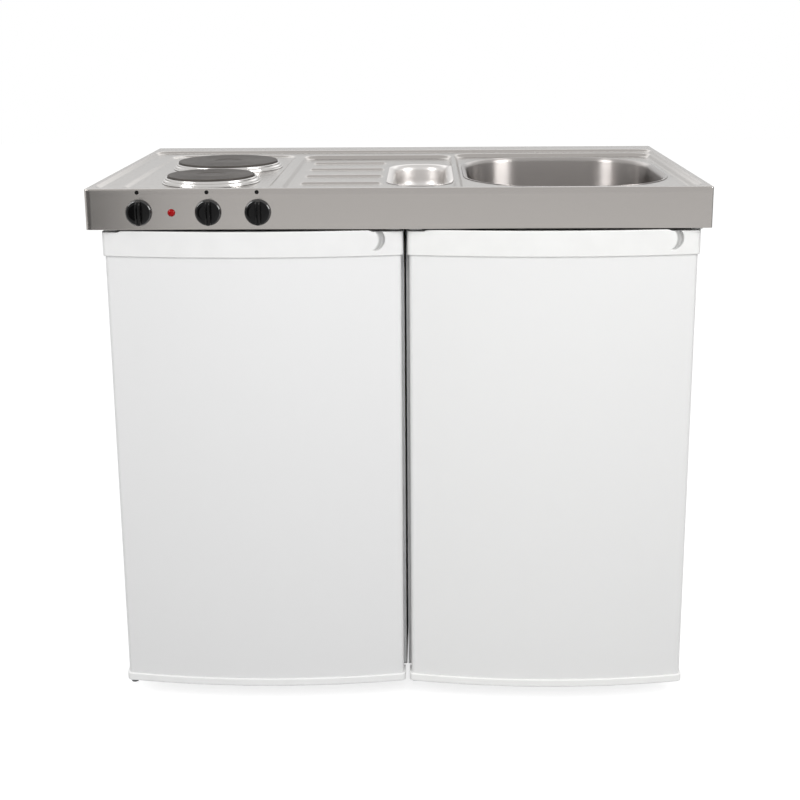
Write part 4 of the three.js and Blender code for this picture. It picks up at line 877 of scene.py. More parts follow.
@dataclass
class Door:
    """Bowed door front: a painted steel panel between two moulded trims. Its body has its name."""

    name: str
    left: float
    right: float
    paint: Stock
    moulding: Stock
    edge_y: float = -291.0
    bow: float = 21.0
    thickness: float = 30.0
    bottom: float = 36.0
    top: float = 829.0
    trim_top: float = 39.5
    trim_bottom: float = 14.0
    proud: float = 3.0
    round: float = 7.0

    @property
    def back(self) -> float:
        """Plane of the door's flat back."""
        return self.edge_y + self.thickness

    def front(self, x: Array, inset: float) -> Array:
        """Bowed front: a parabola set back by the inset, with a quarter round at both edges."""
        share = (2 * x - self.left - self.right) / (self.right - self.left)
        face = self.edge_y - self.bow * (1 - share**2) + inset
        near = np.minimum(x - self.left, self.right - x) - inset
        gap = np.clip(self.round - near, 0.0, self.round)
        return face + self.round - np.sqrt(np.maximum(self.round**2 - gap**2, 0.0))

    def lines(self, inset: float, fine: float = 0.0) -> Array:
        """Places along the door's width, close together in the rounded edges."""
        low, high = self.left + inset, self.right - inset
        curve = self.round * (1 - np.cos(np.linspace(0, math.pi / 2, 9)))
        count = int((high - low) / fine) if fine else 90
        inner = np.linspace(low + self.round, high - self.round, count)[1:-1]
        return np.concatenate([low + curve, inner, (high - curve)[::-1]])

    def box(self, x: Array, rise: Array, front: Array, low: float, high: float) -> Sheet:
        """Closed body from a curved front to the door's flat back.

        Args:
            x: places along the width.
            rise: shares of the height, from 0 at the foot to 1 at the head.
            front: front surface, one column for each place, and one row for each share or one for all.
            low: height of the foot.
            high: height of the head.

        Returns:
            The sheet of the whole surface.
        """
        z = np.broadcast_to(low + (high - low) * rise[:, None], (rise.size, x.size))
        front = np.broadcast_to(front, z.shape)
        depth = np.linspace(0, 1, 6)
        sheet = Sheet().grid(cloud(x, front, z)).grid(cloud(x, self.back, z), flip=True)
        for row, flip in ((0, True), (-1, False)):
            y = front[row] + (self.back - front[row]) * depth[:, None]
            sheet.grid(cloud(x, y, z[row]), flip=flip)
        for column, flip in ((0, False), (-1, True)):
            edge = front[:, column, None]
            sheet.grid(cloud(x[column], edge + (self.back - edge) * depth, z[:, column, None]), flip=flip)
        return sheet

    def show(self, piece: str, surface: Sheet | bpy.types.Mesh, stock: Stock, node: str,
             crease: float = 40.0) -> None:
        """Show a piece of the door for one of its nodes."""
        shown(f"{self.name}_{piece}", surface, stock, (f"{self.name}_{node}",), body=self.name, crease=crease)

    def build(self) -> None:
        """Make the panel, set in from the trims, and the moulding along the foot with its rounded edge."""
        x = self.lines(self.proud)
        low, high = self.bottom + self.trim_bottom + 0.3, self.top - self.trim_top - 0.3
        panel = self.box(x, np.linspace(0, 1, 60), self.front(x, self.proud), low, high)
        self.show("painted_panel", panel, self.paint, "panel")
        x = self.lines(0.0)
        rise = np.concatenate([np.linspace(0, 0.25, 7), np.linspace(0.25, 0.8, 6)[1:],
                               np.linspace(0.8, 1, 7)[1:]])
        z = rise * self.trim_bottom
        under = np.sqrt(np.maximum(3.0**2 - np.clip(3.0 - z, 0, 3) ** 2, 0))
        over = np.sqrt(np.maximum(2.0**2 - np.clip(z - self.trim_bottom + 2.0, 0, 2) ** 2, 0))
        back_off = (3.0 - under) + (2.0 - over)
        front = np.minimum(self.front(x, 0.0)[None, :] + back_off[:, None], self.back - 0.5)
        trim = self.box(x, rise, front, self.bottom, self.bottom + self.trim_bottom)
        self.show("foot_moulding", trim, self.moulding, "bottom_trim")


@dataclass
class GripTrim(Door):
    """Moulding along the head of a door, with a finger trough behind a lifted lip.

    The trough ends before the door's free edge in a crescent that is sunk into the front.
    """

    lift: float = 2.5
    wall: float = 4.5
    trough: float = 15.0
    depth: float = 24.0
    start: float = 26.0
    end: float = 47.0
    outer_arc: Triple = (47.0, 13.0, 19.0)
    inner_arc: Triple = (58.0, 14.0, 17.7)
    crescent: float = 7.5

    def sunk(self, x: Array, z: Array) -> Array:
        """Depth of the crescent: sharp along its outer arc on the free side, fading out to its inner arc."""
        outer, inner = (np.hypot(x - (self.right - aside), z - (self.top - down)) - radius
                        for aside, down, radius in (self.outer_arc, self.inner_arc))
        return self.crescent * smooth(-outer / 2.4) * smooth(inner / 7.0)

    def top_line(self, x: Array, depth: Array) -> Array:
        """Height of the head at a place and a depth behind the front face: lip, trough and rear wall."""
        along = smooth((x - (self.left + self.start)) / 7.0) * smooth((self.right - self.end - x) / 9.0)
        lip = self.lift * along * (1.0 - smooth((depth - self.wall + 0.6) / 1.2))
        past = depth - self.wall
        inside = smooth(past / 2.2) * (1.0 - smooth((past - self.trough + 2.4) / 2.4))
        crown = 1.4 * (1.0 - np.sqrt(1.0 - np.clip(1.0 - depth / 1.6, 0.0, 1.0) ** 2))
        return self.top + lip - self.depth * inside * along - crown

    def build(self) -> None:
        """Add the whole moulding: front, head, back, underside and ends that share their edges."""
        super().build()
        x = self.lines(0.0, 1.0)
        low = self.top - self.trim_top
        deep = self.back - self.edge_y
        straight = 21.5  # depth up to which the head follows the bowed front
        depths = np.concatenate([[0.0, 0.3, 0.7, 1.1, 1.6], np.linspace(2.2, 3.8, 3),
                                 np.linspace(4.2, 7.2, 8),
                               np.linspace(9, 15, 3), np.linspace(16.5, 20.2, 8),
                               np.linspace(straight, deep, 5)])
        face = self.front(x, 0.0)
        rows = np.linspace(0, 1, 56)
        z_face = low + (self.top_line(x, np.zeros(x.size)) - low)[None, :] * rows[:, None]
        foot_round = 1.6 - np.sqrt(np.maximum(1.6**2 - np.clip(1.6 - (z_face - low), 0, 1.6) ** 2, 0.0))
        y_face = np.minimum(face + self.sunk(x[None, :], z_face) + foot_round, self.back - 0.4)
        y_face[-1] = np.maximum(y_face[-1], face)
        sheet = Sheet().grid(cloud(x, y_face, z_face))
        share = depths / depths[-1]
        first = y_face[-1]
        scale = np.minimum((self.back - first) / deep, 1.0)
        start = first + straight * scale
        past = (depths[:, None] - straight) / (deep - straight)
        y_top = np.where(depths[:, None] <= straight, first + depths[:, None] * scale,
                         start + (self.back - start) * past)
        z_top = self.top_line(x, depths[:, None])
        z_top[-1] = self.top
        z_top[0] = z_face[-1]
        sheet.grid(cloud(x, y_top, z_top))
        sheet.grid(cloud(x, self.back, self.top + (low - self.top) * rows[:, None]))
        sheet.grid(cloud(x, self.back + (y_face[0] - self.back) * share[:, None], low))
        for column, flip in ((0, False), (-1, True)):
            edge = y_face[:, column, None]
            y_side = edge + (self.back - edge) * share
            z_side = np.broadcast_to(z_face[:, column, None], y_side.shape).copy()
            z_side[-1] = z_top[:, column]
            y_side[-1] = y_top[:, column]
            sheet.grid(cloud(x[column], y_side, z_side), flip=flip)
        mesh = sheet.mesh("grip", 5e-3)
        # painted shade written onto the crescent of the grip, which darkens its colour
        mark(mesh, "painted_recess_shade", self.painted_recess_shade)
        self.show("grip_moulding", mesh, self.moulding, "top_trim", crease=35)

    def painted_recess_shade(self, x: Array, y: Array, z: Array) -> Array:
        """Share of the crescent's depth that darkens the moulding with painted shade, on the front face alone.
        """
        return np.clip(self.sunk(x, z) / 3.0, 0.0, 1.0) * (y < self.edge_y + 12.0)


# ------------------------------------------------------------------ moulded and folded shapes


def stack(centre: Pair, half: Pair, corner: float,
          rows: Sequence[tuple[float | None, float]]) -> Array:
    """Rings of one round-cornered outline at several heights.

    Args:
        centre: middle of the outline.
        half: half of its width and depth.
        corner: radius of its corners.
        rows: inset and height of each ring; an inset of None closes the ring to the middle.

    Returns:
        Array of rings by points by 3.
    """
    rings = []
    for inset, z in rows:
        by = 0.0 if inset is None else inset
        line = rounded_contour(centre, (half[0] - by, half[1] - by), max(corner - by, 0.15), 6, (10, 10))
        if inset is None:
            line = np.broadcast_to(np.array(centre), line.shape)
        rings.append(lifted(line, z))
    return np.stack(rings)


def bend(edge: float, steps: int = 5) -> list[Pair]:
    """Inset and drop of a quarter round, from the flat to the side."""
    angle = np.linspace(0, math.pi / 2, steps)
    return [(edge * (1 - math.sin(a)), edge * (1 - math.cos(a))) for a in angle]


def underside(z: float, edge: float) -> list[tuple[float | None, float]]:
    """Rings of a closed underside with a rounded edge, from its middle outwards."""
    return [(None, z), (edge + 0.8, z)] + [(i, z + d) for i, d in bend(edge)]


def slab(low: Sequence[float], high: Sequence[float], corner: float, edge: float) -> Sheet:
    """Solid plate or block with round corners and rounded edges."""
    over = [(i, high[2] - d) for i, d in reversed(bend(edge))] + [(edge + 0.8, high[2]), (None, high[2])]
    return Sheet().grid(stack(*spanned(low, high), corner, underside(low[2], edge) + over), closed=True)


def show_slab(name: str, stock: Stock, low: Sequence[float], high: Sequence[float], corner: float,
              edge: float, *stands_for: str) -> None:
    """Show a plate or block, and name the nodes that it replaces."""
    shown(name, slab(low, high, corner, edge), stock, stands_for)


def tub(low: Sequence[float], high: Sequence[float], corner: float, edge: float, wall: float) -> Sheet:
    """Open container with a round floor edge and a rounded rim."""
    top, floor, nick = high[2], low[2] + wall, wall * 0.15
    rows = underside(low[2], edge) + [(0.0, top - wall / 2), (nick, top - nick), (wall / 2, top)]
    rows += [(wall * 0.85, top - nick), (wall, top - wall / 2)]
    rows += [(wall + i, floor + d) for i, d in reversed(bend(edge))]
    rows += [(wall + (edge + 0.8), floor), (None, floor)]
    return Sheet().grid(stack(*spanned(low, high), corner, rows), closed=True)


def frame_ring(low: Sequence[float], high: Sequence[float], corner: float, section: Array) -> Sheet:
    """Upright ring whose section of (inset, depth) rows runs round a rectangle of width and height."""
    centre, half = spanned(low, high, 2)
    rings = []
    for inset, y in section:
        size = (half[0] - inset, half[1] - inset)
        rings.append(upright(rounded_contour(centre, size, max(corner - inset, 0.3), 8, (12, 12)), y))
    return Sheet().grid(np.stack(rings), closed=True, flip=True)


def swept(sides: Pair, curve: Sequence[Pair], outline: Callable[[float], Array], front: float,
          flanks: Sequence[Triple], count: int, outward: bool) -> Sheet:
    """Box open at its front: an outline of depth and height swept across the width, and its two flat sides.

    Args:
        sides: left and right end.
        curve: insets from an end and how far the outline is shrunk there.
        outline: the outline for an amount of shrinking.
        front: depth at which the flat sides start.
        flanks: rear, foot and head of each rectangle that makes up a side.
        count: grid lines along each edge of a rectangle.
        outward: whether the faces look out of the box or into it.

    Returns:
        The sheet of the whole surface.
    """
    rows = [(sides[0] + i, d) for i, d in reversed(curve)] + [(sides[1] - i, d) for i, d in curve]
    sheet = Sheet().grid(np.stack([across(outline(e), x) for x, e in rows]), flip=outward)
    for x, flip in zip(sides, (not outward, outward)):
        for rear, foot, head in flanks:
            y, z = np.meshgrid(np.linspace(front, rear, count), np.linspace(foot, head, count))
            sheet.grid(cloud(x, y, z), flip=flip)
    return sheet


def turned(name: str, node: str, profile: Sequence[Pair], centre: Pair, stock: Stock, radius: float,
           sides: int = 72, body: str = "cabinet") -> None:
    """Revolve a closed profile of (radius, height) about an upright axis and show it for a node."""
    rounded = fillet(profile, [radius] * (len(profile) - 2), 3)
    shown(name, spun(rounded, sides, centre), stock, (node,), body=body)


def run(points: Sequence[Sequence[float]], radius: float, steps: int) -> Array:
    """Path through points in space with its corners rounded alike."""
    return fillet(points, [radius] * (len(points) - 2), steps)


# ------------------------------------------------------------------ refrigerator


@dataclass
class Refrigerator:
    """Refrigerator body: shell, moulded liner, shelves, drawer, thermostat, compressor and condenser."""

    left: float = -474.0
    right: float = 10.5
    front: float = -249.0
    back: float = 250.0
    bottom: float = 46.0
    top: float = 829.5
    cold_left: float = -438.0
    cold_right: float = -25.5
    floor: float = 82.0
    roof: float = 789.5
    rear: float = 208.0
    step_y: float = 55.0
    step_z: float = 281.0
    bend: float = 12.0
    shelf_y: Pair = (-179.0, 121.0)
    coil_y: float = 264.0
    coil_z: Pair = (780.0, 300.0)
    coil_ends: Pair = (-424.0, -39.5)
    coil_rows: int = 6

    def wall(self, e: float) -> Array:
        """Cold space's outline, shrunk by e: floor, step over the compressor, rear wall, roof."""
        points = [(self.front, self.floor + e), (self.step_y - e, self.floor + e),
                  (self.step_y - e, self.step_z + e), (self.rear - e, self.step_z + e),
                  (self.rear - e, self.roof - e), (self.front, self.roof - e)]
        inner = max(self.bend - e, 0.5)
        return fillet(points, [inner, self.bend + e, inner, inner], 6)

    def liner(self) -> None:
        """Moulded liner with rounded side corners, its flange and the ledges under the shelves."""
        flanks = ((self.rear, self.step_z, self.roof), (self.step_y, self.floor, self.step_z))
        sheet = swept((self.cold_left, self.cold_right), bend(self.bend, 7), self.wall, self.front, flanks, 2,
                      False)
        shown("cold_space_liner", sheet, Stock.LINER, ("fridge_liner",))
        outer = rounded_contour(*spanned((self.left + 1.3, 0.0, self.bottom + 1.3),
                                         (self.right - 1.3, 0.0, self.top - 1.3), 2), 2.0, 8, (12, 12))
        inner = rounded_contour(*spanned((self.cold_left, 0.0, self.floor),
                                         (self.cold_right, 0.0, self.roof), 2), self.bend, 8, (12, 12))
        rings = [(outer, 1.4), (outer, 0.2), (outer + (inner - outer) * 0.02, 0.02),
                 (outer + (inner - outer) * 0.96, 0.02), (inner, 0.9), (inner, 3.0)]
        flange = np.stack([upright(line, self.front + depth) for line, depth in rings])
        shown("liner_flange", Sheet().grid(flange, closed=True, flip=True), Stock.LINER)
        front, rear = self.shelf_y
        for number, z in enumerate(SHELVES.values()):
            for word, x in (("left", self.cold_left - 2), ("right", self.cold_right - 9)):
                show_slab(f"{word}_ledge_{number}", Stock.LINER, (x, front, z - 4.3), (x + 11, rear, z - 0.3),
                          3.0, 1.8)

    def shell(self) -> None:
        """Painted steel wrap, open at the front, with the compressor niche cut into its lower back."""
        niche_y, niche_z = self.back - 165.0, self.bottom + 205.0

        def line(e: float) -> Array:
            """Outline of the shell, shrunk by e."""
            points = [(self.front, self.bottom + e), (niche_y - e, self.bottom + e),
                      (niche_y - e, niche_z + e), (self.back - e, niche_z + e), (self.back - e, self.top - e),
                      (self.front, self.top - e)]
            return fillet(points, [0.4] * 4, 3)

        flanks = ((self.back - 2, niche_z, self.top - 2), (niche_y - 2, self.bottom + 2, niche_z))
        sheet = swept((self.left, self.right), bend(2.0), line, self.front, flanks, 8, True)
        shown("painted_shell", sheet, Stock.WHITE_BODY, ("fridge_shell",))

    def inside(self) -> None:
        """Glass shelves with their bars, the crisper drawer and the thermostat with its lamp cover."""
        front, rear = self.shelf_y
        for name, z in SHELVES.items():
            show_slab(f"{name}_glass_shelf", Stock.GLASS, (-435, front, z), (-28.5, rear, z + 4), 3.0, 0.8,
                      f"{name}_shelf")
            for word, y in (("front", -181.0), ("rear", 115.0)):
                show_slab(f"{name}_shelf_{word}_bar", Stock.WHITE_PART, (-434.6, y, z - 0.2),
                          (-28.9, y + 9, z + 7.4), 2.5, 2.0)
        drawer = tub((-426, -179, 82.3), (-37.5, 31, 232.3), 10, 6, 2.2)
        shown("vegetable_drawer", drawer, Stock.CLEAR, ("crisper_drawer",))
        show_slab("drawer_pull", Stock.CLEAR, (-378, -191, 213.8), (-85.5, -177, 217.4), 5, 1.4)
        show_slab("thermostat_case", Stock.LINER, (-295.8, -94, 755.4), (-167.8, -26, 789.4), 14, 5,
                  "thermostat_housing")
        show_slab("lamp_cover", Stock.CLEAR, (-286, -90, 752.2), (-214, -32, 758), 10, 2.5)
        dial = fillet([(0, 12), (12.6, 12), (14.2, 10.8), (15, 0.2), (0, 0.2)], [1.5, 1.0, 0.3], 4)
        knob = spun(dial[::-1], 64).join(slab((-2.0, -13.0, 11.0), (2.0, 13.0, 16.0), 1.9, 1.2))
        knob.place((-201.8, -94.3, 771.5), TO_FRONT)
        shown("thermostat_dial", knob, Stock.WHITE_PART, ("thermostat_knob",), body="thermostat")

    def outside(self) -> None:
        """Compressor with its relay, and the condenser coil with its straps."""
        rises = [(0, 0), (41, 0), (52, 12), (58, 30), (58, 64), (61, 65), (61, 70.8), (58, 71), (52, 100),
                 (32, 118), (0, 121.6)]
        turned("compressor_pot", "compressor", [(r, 48.3 + z) for r, z in rises], (-150.0, 171.5),
               Stock.BLACK_STEEL, 9.0, 96)
        show_slab("start_relay_case", Stock.BLACK, (-116, 149.5, 78.3), (-58, 193.5, 124.3), 4, 3)
        pitch = (self.coil_z[0] - self.coil_z[1]) / (self.coil_rows - 1)
        points = [(self.coil_ends[(i + k) % 2], self.coil_y, self.coil_z[0] - i * pitch)
                  for i in range(self.coil_rows) for k in (0, 1)]
        coil = Sheet().grid(sweep(run(points, 46.0, 13), 3.0, 16), closed=True)
        for x in (-324.0, -139.5):
            show_slab(f"condenser_strap_{int(-x)}", Stock.BLACK_STEEL, (x - 6, 264.5, 275), (x + 6, 268, 805),
                      1.0, 0.6)
            for z in (275.0, 793.0):
                show_slab(f"condenser_leg_{int(-x)}_{int(z)}", Stock.BLACK_STEEL, (x - 6, 250.3, z),
                          (x + 6, 266, z + 12), 1.0, 0.6)
        shown("condenser_tube", coil, Stock.BLACK_STEEL, ("condenser_coil",))

    def build(self) -> None:
        """Make the whole body."""
        self.shell()
        self.liner()
        self.inside()
        self.outside()


@dataclass
class FridgeDoorInside:
    """Inner face of the refrigerator door: liner with its raised rim, gasket and two bins."""

    body: str = "fridge_door"

    def build(self) -> None:
        """Make the liner, the gasket and the bins."""
        plate = [(0.0, -260.6), (0.0, -259.4), (0.5, -259.0), (61.0, -259.0), (65.0, -258.4)]
        rim = fillet([(61.0, -259.0), (62.5, -246.0), (69.0, -245.3), (70.5, -257.6), (110.0, -258.2)],
                     [2.5, 2.5, 2.5], 6)
        sheet = frame_ring((-470, 0, 52), (0, 0, 813), 6, np.array(plate))
        sheet.join(frame_ring((-477.9, 0, 30), (8, 0, 821), 14, rim))
        x, z = np.meshgrid(np.linspace(-420, -50, 12), np.linspace(90, 770, 16))
        sheet.grid(cloud(x, -258.3, z), flip=True)
        shown("door_liner_face", sheet, Stock.LINER, ("fridge_door_liner",), body=self.body)
        section = fillet([(0.4, -258.8), (0.0, -256.0), (2.6, -254.2), (0.3, -252.0), (0.6, -249.5),
                          (6.5, -249.35), (12.4, -249.5), (12.7, -252.0), (10.4, -254.2), (13.0, -256.0),
                          (12.6, -258.8)], [0.8, 0.8, 0.8, 0.8, 1.6, 0.8, 0.8, 0.8, 0.8], 3)
        ring = frame_ring((-463, 0, 54), (-5, 0, 811), 10, section)
        shown("door_gasket_profile", ring, Stock.GASKET, ("fridge_door_gasket",), body=self.body)
        for name, z, height in (("upper", 520.0, 60.0), ("lower", 150.0, 92.0)):
            bin_ = tub((-404, -258.9, z), (-66, -196.9, z + height), 12, 5, 2.0)
            shown(f"{name}_bin", bin_, Stock.CLEAR, (f"{name}_door_bin",), body=self.body)


# ------------------------------------------------------------------ wastes, cupboard and fittings


@dataclass
class Drainage:
    """Waste fittings, basket, bottle trap and pipes under the two bowls."""

    x: float = 287.5
    y: float = -17.0
    floor: float = 740.0
    seat: float = 844.3

    def basket(self) -> None:
        """Strainer basket: a cone with a rim, two rings of perforations drawn as dark discs of painted shade,
        and a lifting knob.
        """
        top = self.floor + 2.6 + 1.0
        foot = top - 26.0
        profile = [(0, foot), (33, foot), (37, top - 1), (41, top - 1), (41, top), (36, top), (32, foot + 1),
                   (2, foot + 1), (2, foot + 14), (7, foot + 16), (7, foot + 18), (0, foot + 18)]
        turned("basket_cone", "strainer_basket", profile, (self.x, self.y), Stock.POLISHED, 0.6, 96, "basket")
        # each perforation is a dark disc on the cone's floor: painted shade in place of the opening
        hole_shades = Sheet()
        for reach, start in ((25, 0.0), (14, 0.39)):
            for a in np.arange(8) * math.pi / 4:
                place = (self.x + reach * math.cos(a + start), self.y + reach * math.sin(a + start))
                disc = lathe(np.array([[0, foot + 1.12], [1.9, foot + 1.12], [2.1, foot + 0.9]]), 20, place)
                hole_shades.grid(disc, closed=True, flip=True)
        shown("basket_hole_shades", hole_shades, Stock.PRINT_AND_HOLE_SHADE, body="basket")

    def wastes(self) -> None:
        """Waste fittings of both bowls, with the basket of the main one."""
        floor, low, seat = self.floor, self.floor - 42.0, self.seat
        profile = [(41, floor + 0.3), (52, floor + 0.3), (50, floor + 2.3), (39, floor + 2.3), (39, low + 2),
                   (19, low + 2), (19, low - 34), (21, low - 34), (21, low), (41, low), (41, floor + 0.3)]
        turned("main_waste", "sink_waste", profile, (self.x, self.y), Stock.POLISHED, 0.9, 96)
        self.basket()
        profile = [(9.2, 808), (11, 808), (11, 830), (14, 830), (14, seat), (19.2, seat), (17.2, seat + 2),
                   (9.2, seat + 2), (9.2, 808)]
        turned("small_waste", "basin_waste", profile, BASIN_WASTE, Stock.POLISHED, 0.6, 64)
        cross = Sheet()
        for start, end in (((38.4, -61.8), (56.6, -60.2)), ((46.7, -70.1), (48.3, -51.9))):
            cross.join(slab((*start, seat - 0.5), (*end, seat + 0.8), 0.4, 0.3))
        shown("small_waste_cross", cross, Stock.POLISHED)

    def build(self) -> None:
        """Make every fitting from the bowls' floors to the wall connection."""
        self.wastes()
        head = [(22.6, 663.7), (25, 663.7), (25, 654.5), (34, 645.3), (34, 617.7), (25, 617.7), (21, 571.7),
                (18, 571.7), (22.6, 617.7), (22.6, 663.7)]
        cup = [(0, 547.4), (26.8, 547.4), (34, 557), (34, 617.4), (31.6, 617.4), (31.6, 559.4), (24.4, 549.8),
               (0, 549.8)]
        for name, node, profile, radius in (("trap_head", "trap_body", head, 1.6),
                                            ("trap_bottle", "trap_cup", cup, 3.0)):
            turned(name, node, profile, (self.x, self.y), Stock.WHITE_PART, radius)
        for name, z, size in (("trap_nut", 621.0, 36.5), ("inlet_nut", 649.0, 28.0)):
            nut = fillet([(size - 3, z), (size, z + 1), (size, z + 11), (size - 3, z + 12)], [0.8, 0.8], 3)
            ribs = lathe(nut, 96)
            ribs[:, ::4, :2] *= 0.975
            shown(name, Sheet().grid(ribs, closed=True).place((self.x, self.y, 0.0)), Stock.WHITE_PART)
        pipe = lathe(np.array([[18, 17.4], [20, 17.4], [20, 60], [20, 273.2], [19.4, 274], [18.4, 274],
                               [18, 273.4], [18, 200]]), 64)
        along = np.array([[1.0, 0, 0], [0, 0, 1.0], [0, 1.0, 0]])
        outlet = Sheet().grid(pipe, closed=True, flip=True).place((self.x, 0.0, PIPE_Z), along)
        shown("outlet_pipe", outlet, Stock.WHITE_PART, ("drain_pipe",))
        path = run([(*BASIN_WASTE, 807.7), (*BASIN_WASTE, PIPE_Z + 40), (87.5, -53, PIPE_Z),
                    (254.5, self.y, PIPE_Z)], 26.0, 11)
        branch = Sheet().grid(sweep(path, 11.0, 32), closed=True)
        shown("basin_branch_pipe", branch, Stock.WHITE_PART, ("branch_pipe",))


@dataclass
class Fittings:
    """Hinges, caps and levelling feet of both cabinets."""

    pivot_x: float = 14.0
    pivot_y: float = -277.0

    def hinge(self, door: str, left: float, cap_right: float) -> None:
        """Bracket of the upper hinge with its pin, and the caps over both ends of the door's head."""
        x, y = left + self.pivot_x, self.pivot_y
        plate = slab((x - 11, y - 10, 829.8), (x + 11, y + 46, 832.2), 5, 0.6)
        plate.join(spun(fillet([(0, 813), (4, 813), (4, 831)], [0.8], 3), 32, (x, y)))
        shown(f"{door}_upper_bracket", plate, Stock.WHITE_PART, (f"{door}_upper_hinge",))
        show_slab(f"{door}_left_cap", Stock.WHITE_PART, (x - 10.5, y - 9.5, 830.6),
                  (x + 10.5, y + 8, 833.6), 7, 1.4)
        show_slab(f"{door}_right_cap", Stock.WHITE_PART, (cap_right - 23, y - 9, 829.7),
                  (cap_right, y + 26, 832.9), 7, 1.4)

    def foot(self, node: str, x: float, y: float) -> None:
        """Levelling foot: ribbed pad, threaded stem and collar."""
        thread = [(6.0 - 0.7 * (k % 2), 10.5 + 0.75 * k) for k in range(38)]
        profile = [(0, 0.02), (17, 0.02), (17, 6), (13, 10)] + thread + [(13, 39.7), (13, 45.7), (0, 45.7)]
        shown(f"{node}_pad", spun(profile, 40, (x, y)), Stock.BLACK, (node,), crease=50)

    def build(self) -> None:
        """Make all hinges and feet."""
        self.hinge("fridge", -478.0, 4.0)
        self.hinge("cupboard", 15.0, 489.5)
        show_slab("fridge_lower_pin_cap", Stock.BLACK, (-474.0, -286.0, 28.5), (-460.0, -272.0, 33.2),
                  6.5, 2.0)
        for cabinet, xs in (("fridge", (-430.0, -33.5)), ("cupboard", (56.5, 436.0))):
            for row, y in (("front", -204.0), ("rear", 205.0)):
                for side, x in zip(("left", "right"), xs):
                    self.foot(f"{cabinet}_{row}_{side}_foot", x, y)


# ------------------------------------------------------------------ studio


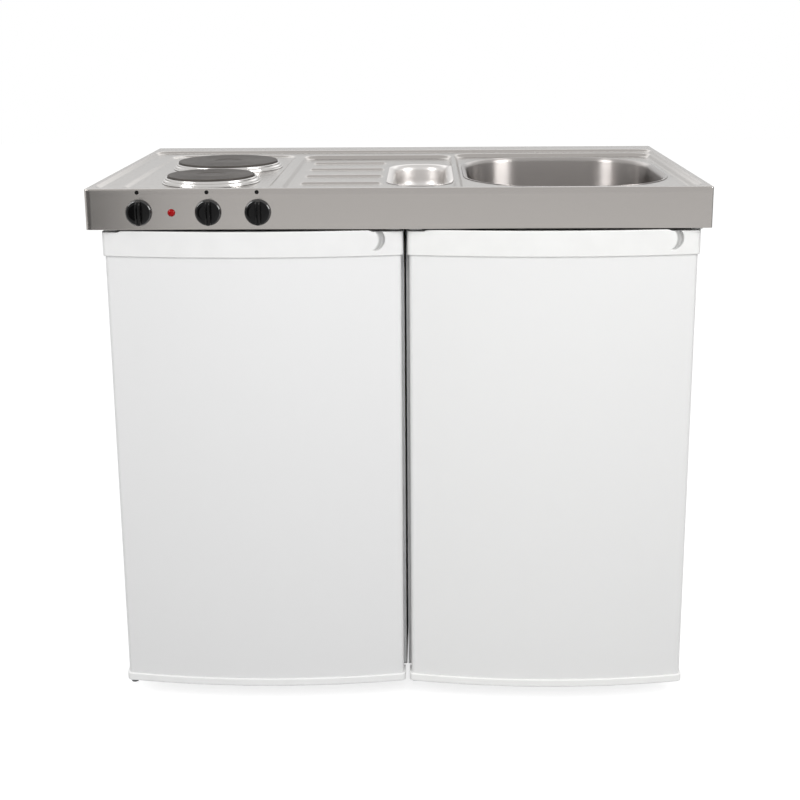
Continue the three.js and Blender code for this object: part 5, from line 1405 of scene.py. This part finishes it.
@dataclass
class Studio:
    """Pale floor, soft light and the camera of the photograph."""

    stand: Triple = (0.0437, -2.2961, 1.1808)
    yaw: float = -0.0203
    pitch: float = -0.2236
    roll: float = -0.0072
    lens: float = 57.4
    shift: float = -0.13

    def camera(self) -> None:
        """Camera at the photograph's place: yaw and pitch aim it, roll levels it, shift centres the frame."""
        ahead = Vector((math.sin(self.yaw) * math.cos(self.pitch), math.cos(self.yaw) * math.cos(self.pitch),
                        math.sin(self.pitch)))
        right = Vector((math.cos(self.yaw), -math.sin(self.yaw), 0.0))
        up = right.cross(ahead)
        side = right * math.cos(self.roll) + up * math.sin(self.roll)
        above = -right * math.sin(self.roll) + up * math.cos(self.roll)
        data = bpy.data.cameras.new("camera")
        data.lens, data.sensor_width, data.shift_y = self.lens, 36.0, self.shift
        data.clip_end = 50.0
        seen = bpy.data.objects.new("camera", data)
        seen.matrix_world = Matrix((side, above, -ahead)).transposed().to_4x4()
        seen.location = self.stand
        bpy.context.scene.collection.objects.link(seen)
        bpy.context.scene.camera = seen

    def put(self, thing: bpy.types.Object, place: Triple = (0, 0, 0), aim: Triple | None = None,
            axis: str = "Z") -> None:
        """Make a thing part of the stage, level or with one of its axes aimed at a place."""
        thing.location = place
        if aim:
            thing.rotation_euler = (Vector(aim) - Vector(place)).to_track_quat(axis, "Y").to_euler()
        bpy.context.scene.collection.objects.link(thing)

    def area(self, name: str, size: Pair, place: Triple, aim: Triple, power: float) -> None:
        """Soft rectangular lamp aimed at a place."""
        data = bpy.data.lights.new(name, "AREA")
        data.shape, data.size, data.size_y, data.energy = "RECTANGLE", *size, power
        lamp = bpy.data.objects.new(name, data)
        lamp.visible_glossy = False
        self.put(lamp, place, aim, "-Z")

    def plane(self, name: str, w: float, h: float) -> tuple[bpy.types.Object, Nodes]:
        """Level rectangle with half sizes w and h, and the nodes of its own material."""
        mesh = bpy.data.meshes.new(name)
        mesh.from_pydata([(-w, -h, 0), (w, -h, 0), (w, h, 0), (-w, h, 0)], [], [(0, 1, 2, 3)])
        paint = bpy.data.materials.new(name)
        paint.use_nodes = True
        mesh.materials.append(paint)
        return bpy.data.objects.new(name, mesh), Nodes(paint.node_tree)

    def card(self, name: str, size: Pair, place: Triple, aim: Triple, shade: float) -> None:
        """Card that only reflections see: it darkens or lights part of a shiny surface."""
        card, nodes = self.plane(name, size[0] / 2, size[1] / 2)
        nodes.tree.nodes.clear()
        out = nodes.add("OutputMaterial")
        glow = nodes.add("Emission", {0: (shade, shade, shade, 1)})
        nodes.tree.links.new(glow.outputs[0], out.inputs[0])
        card.visible_camera = card.visible_diffuse = card.visible_shadow = False
        self.put(card, place, aim)

    def floor(self) -> None:
        """Pale floor that shows white to the camera and keeps a soft shadow under the unit."""
        ground, nodes = self.plane("floor", 9, 9)
        shader = nodes.tree.nodes["Principled BSDF"]
        for socket, value in (("Base Color", (0.5, 0.5, 0.5, 1)), ("Roughness", 0.9),
                              ("Specular IOR Level", 0.0), ("Emission Color", (1, 1, 1, 1))):
            shader.inputs[socket].default_value = value
        path = nodes.add("LightPath").outputs
        seen = nodes.math("MAXIMUM", path["Is Camera Ray"], path["Is Glossy Ray"])
        nodes.tree.links.new(nodes.math("MULTIPLY", seen, 0.76), shader.inputs["Emission Strength"])
        self.put(ground)

    def sky(self) -> None:
        """White for the camera and for clear pieces, a plain grey room for everything else."""
        world = bpy.data.worlds.new("studio")
        world.use_nodes = True
        tree = world.node_tree
        nodes = Nodes(tree)
        back = tree.nodes["Background"]
        path = nodes.add("LightPath").outputs
        seen = nodes.math("MAXIMUM", path["Is Camera Ray"], path["Is Transmission Ray"])
        seen = nodes.math("MAXIMUM", seen, path["Is Glossy Ray"])
        tree.links.new(nodes.math("ADD", 0.55, nodes.math("MULTIPLY", seen, 0.45)), back.inputs["Strength"])
        back.inputs["Color"].default_value = (1, 1, 1, 1)
        bpy.context.scene.world = world

    def build(self) -> None:
        """Set the whole stage."""
        self.camera()
        self.floor()
        self.sky()
        self.area("key", (3.0, 2.4), (0.9, -2.9, 2.9), (0.0, 0.0, 0.5), 84.0)
        self.area("fill", (2.4, 2.0), (-2.6, -2.0, 2.2), (0.0, 0.0, 0.5), 15.0)
        self.card("right_box", (1.2, 1.3), (2.35, -1.08, 2.0), (0.19, 0.16, 0.9), 10.0)
        self.card("left_box", (0.8, 1.3), (-1.75, -1.14, 2.0), (0.4, 0.16, 0.9), 9.0)
        self.card("back_glow", (3.4, 1.2), (0.0, 2.6, 2.3), (0.0, 0.0, 0.9), 1.8)
        self.card("low_back", (5.0, 0.8), (0.0, 2.7, 1.15), (0.0, 0.0, 0.9), 0.78)
        self.card("dark_right", (1.6, 1.2), (2.3, 0.7, 0.6), (0.5, -0.3, 0.87), 0.1)
        self.card("dark_left", (1.2, 1.3), (-1.62, -2.69, 0.49), (-0.45, -0.3, 0.87), 0.12)
        view = bpy.context.scene.view_settings
        view.view_transform, view.look, view.exposure, view.gamma = "Standard", "None", 0.0, 1.0


# ------------------------------------------------------------------ the rest


# The first finish of each slot dresses the model's own pieces of that slot
PLAIN = {stock.value.slot: stock.value for stock in reversed(Stock)}


def dress_model(frame: dict[str, Any]) -> None:
    """Give every piece of the model the finish of its record slot.
    """
    slots = {part["node"]: part["material_slot"] for part in frame["record"]["subparts"]}
    for name, node in frame["nodes"].items():
        node.data.materials.clear()
        node.data.materials.append(PLAIN[slots[name]].material())


def main() -> None:
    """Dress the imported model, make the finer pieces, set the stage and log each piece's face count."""
    logging.basicConfig(level=logging.INFO, format="%(name)s %(message)s")
    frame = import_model()
    dress_model(frame)
    Worktop().build()
    Hob().build()
    GripTrim("fridge_door", -478.0, 8.0, Stock.WHITE, Stock.WHITE_TRIM).build()
    GripTrim("cupboard_door", 15.0, 485.0, Stock.CREAM, Stock.CREAM_TRIM).build()
    Refrigerator().build()
    FridgeDoorInside().build()
    Drainage().build()
    Fittings().build()
    Studio().build()


if __name__ == "__main__":
    main()
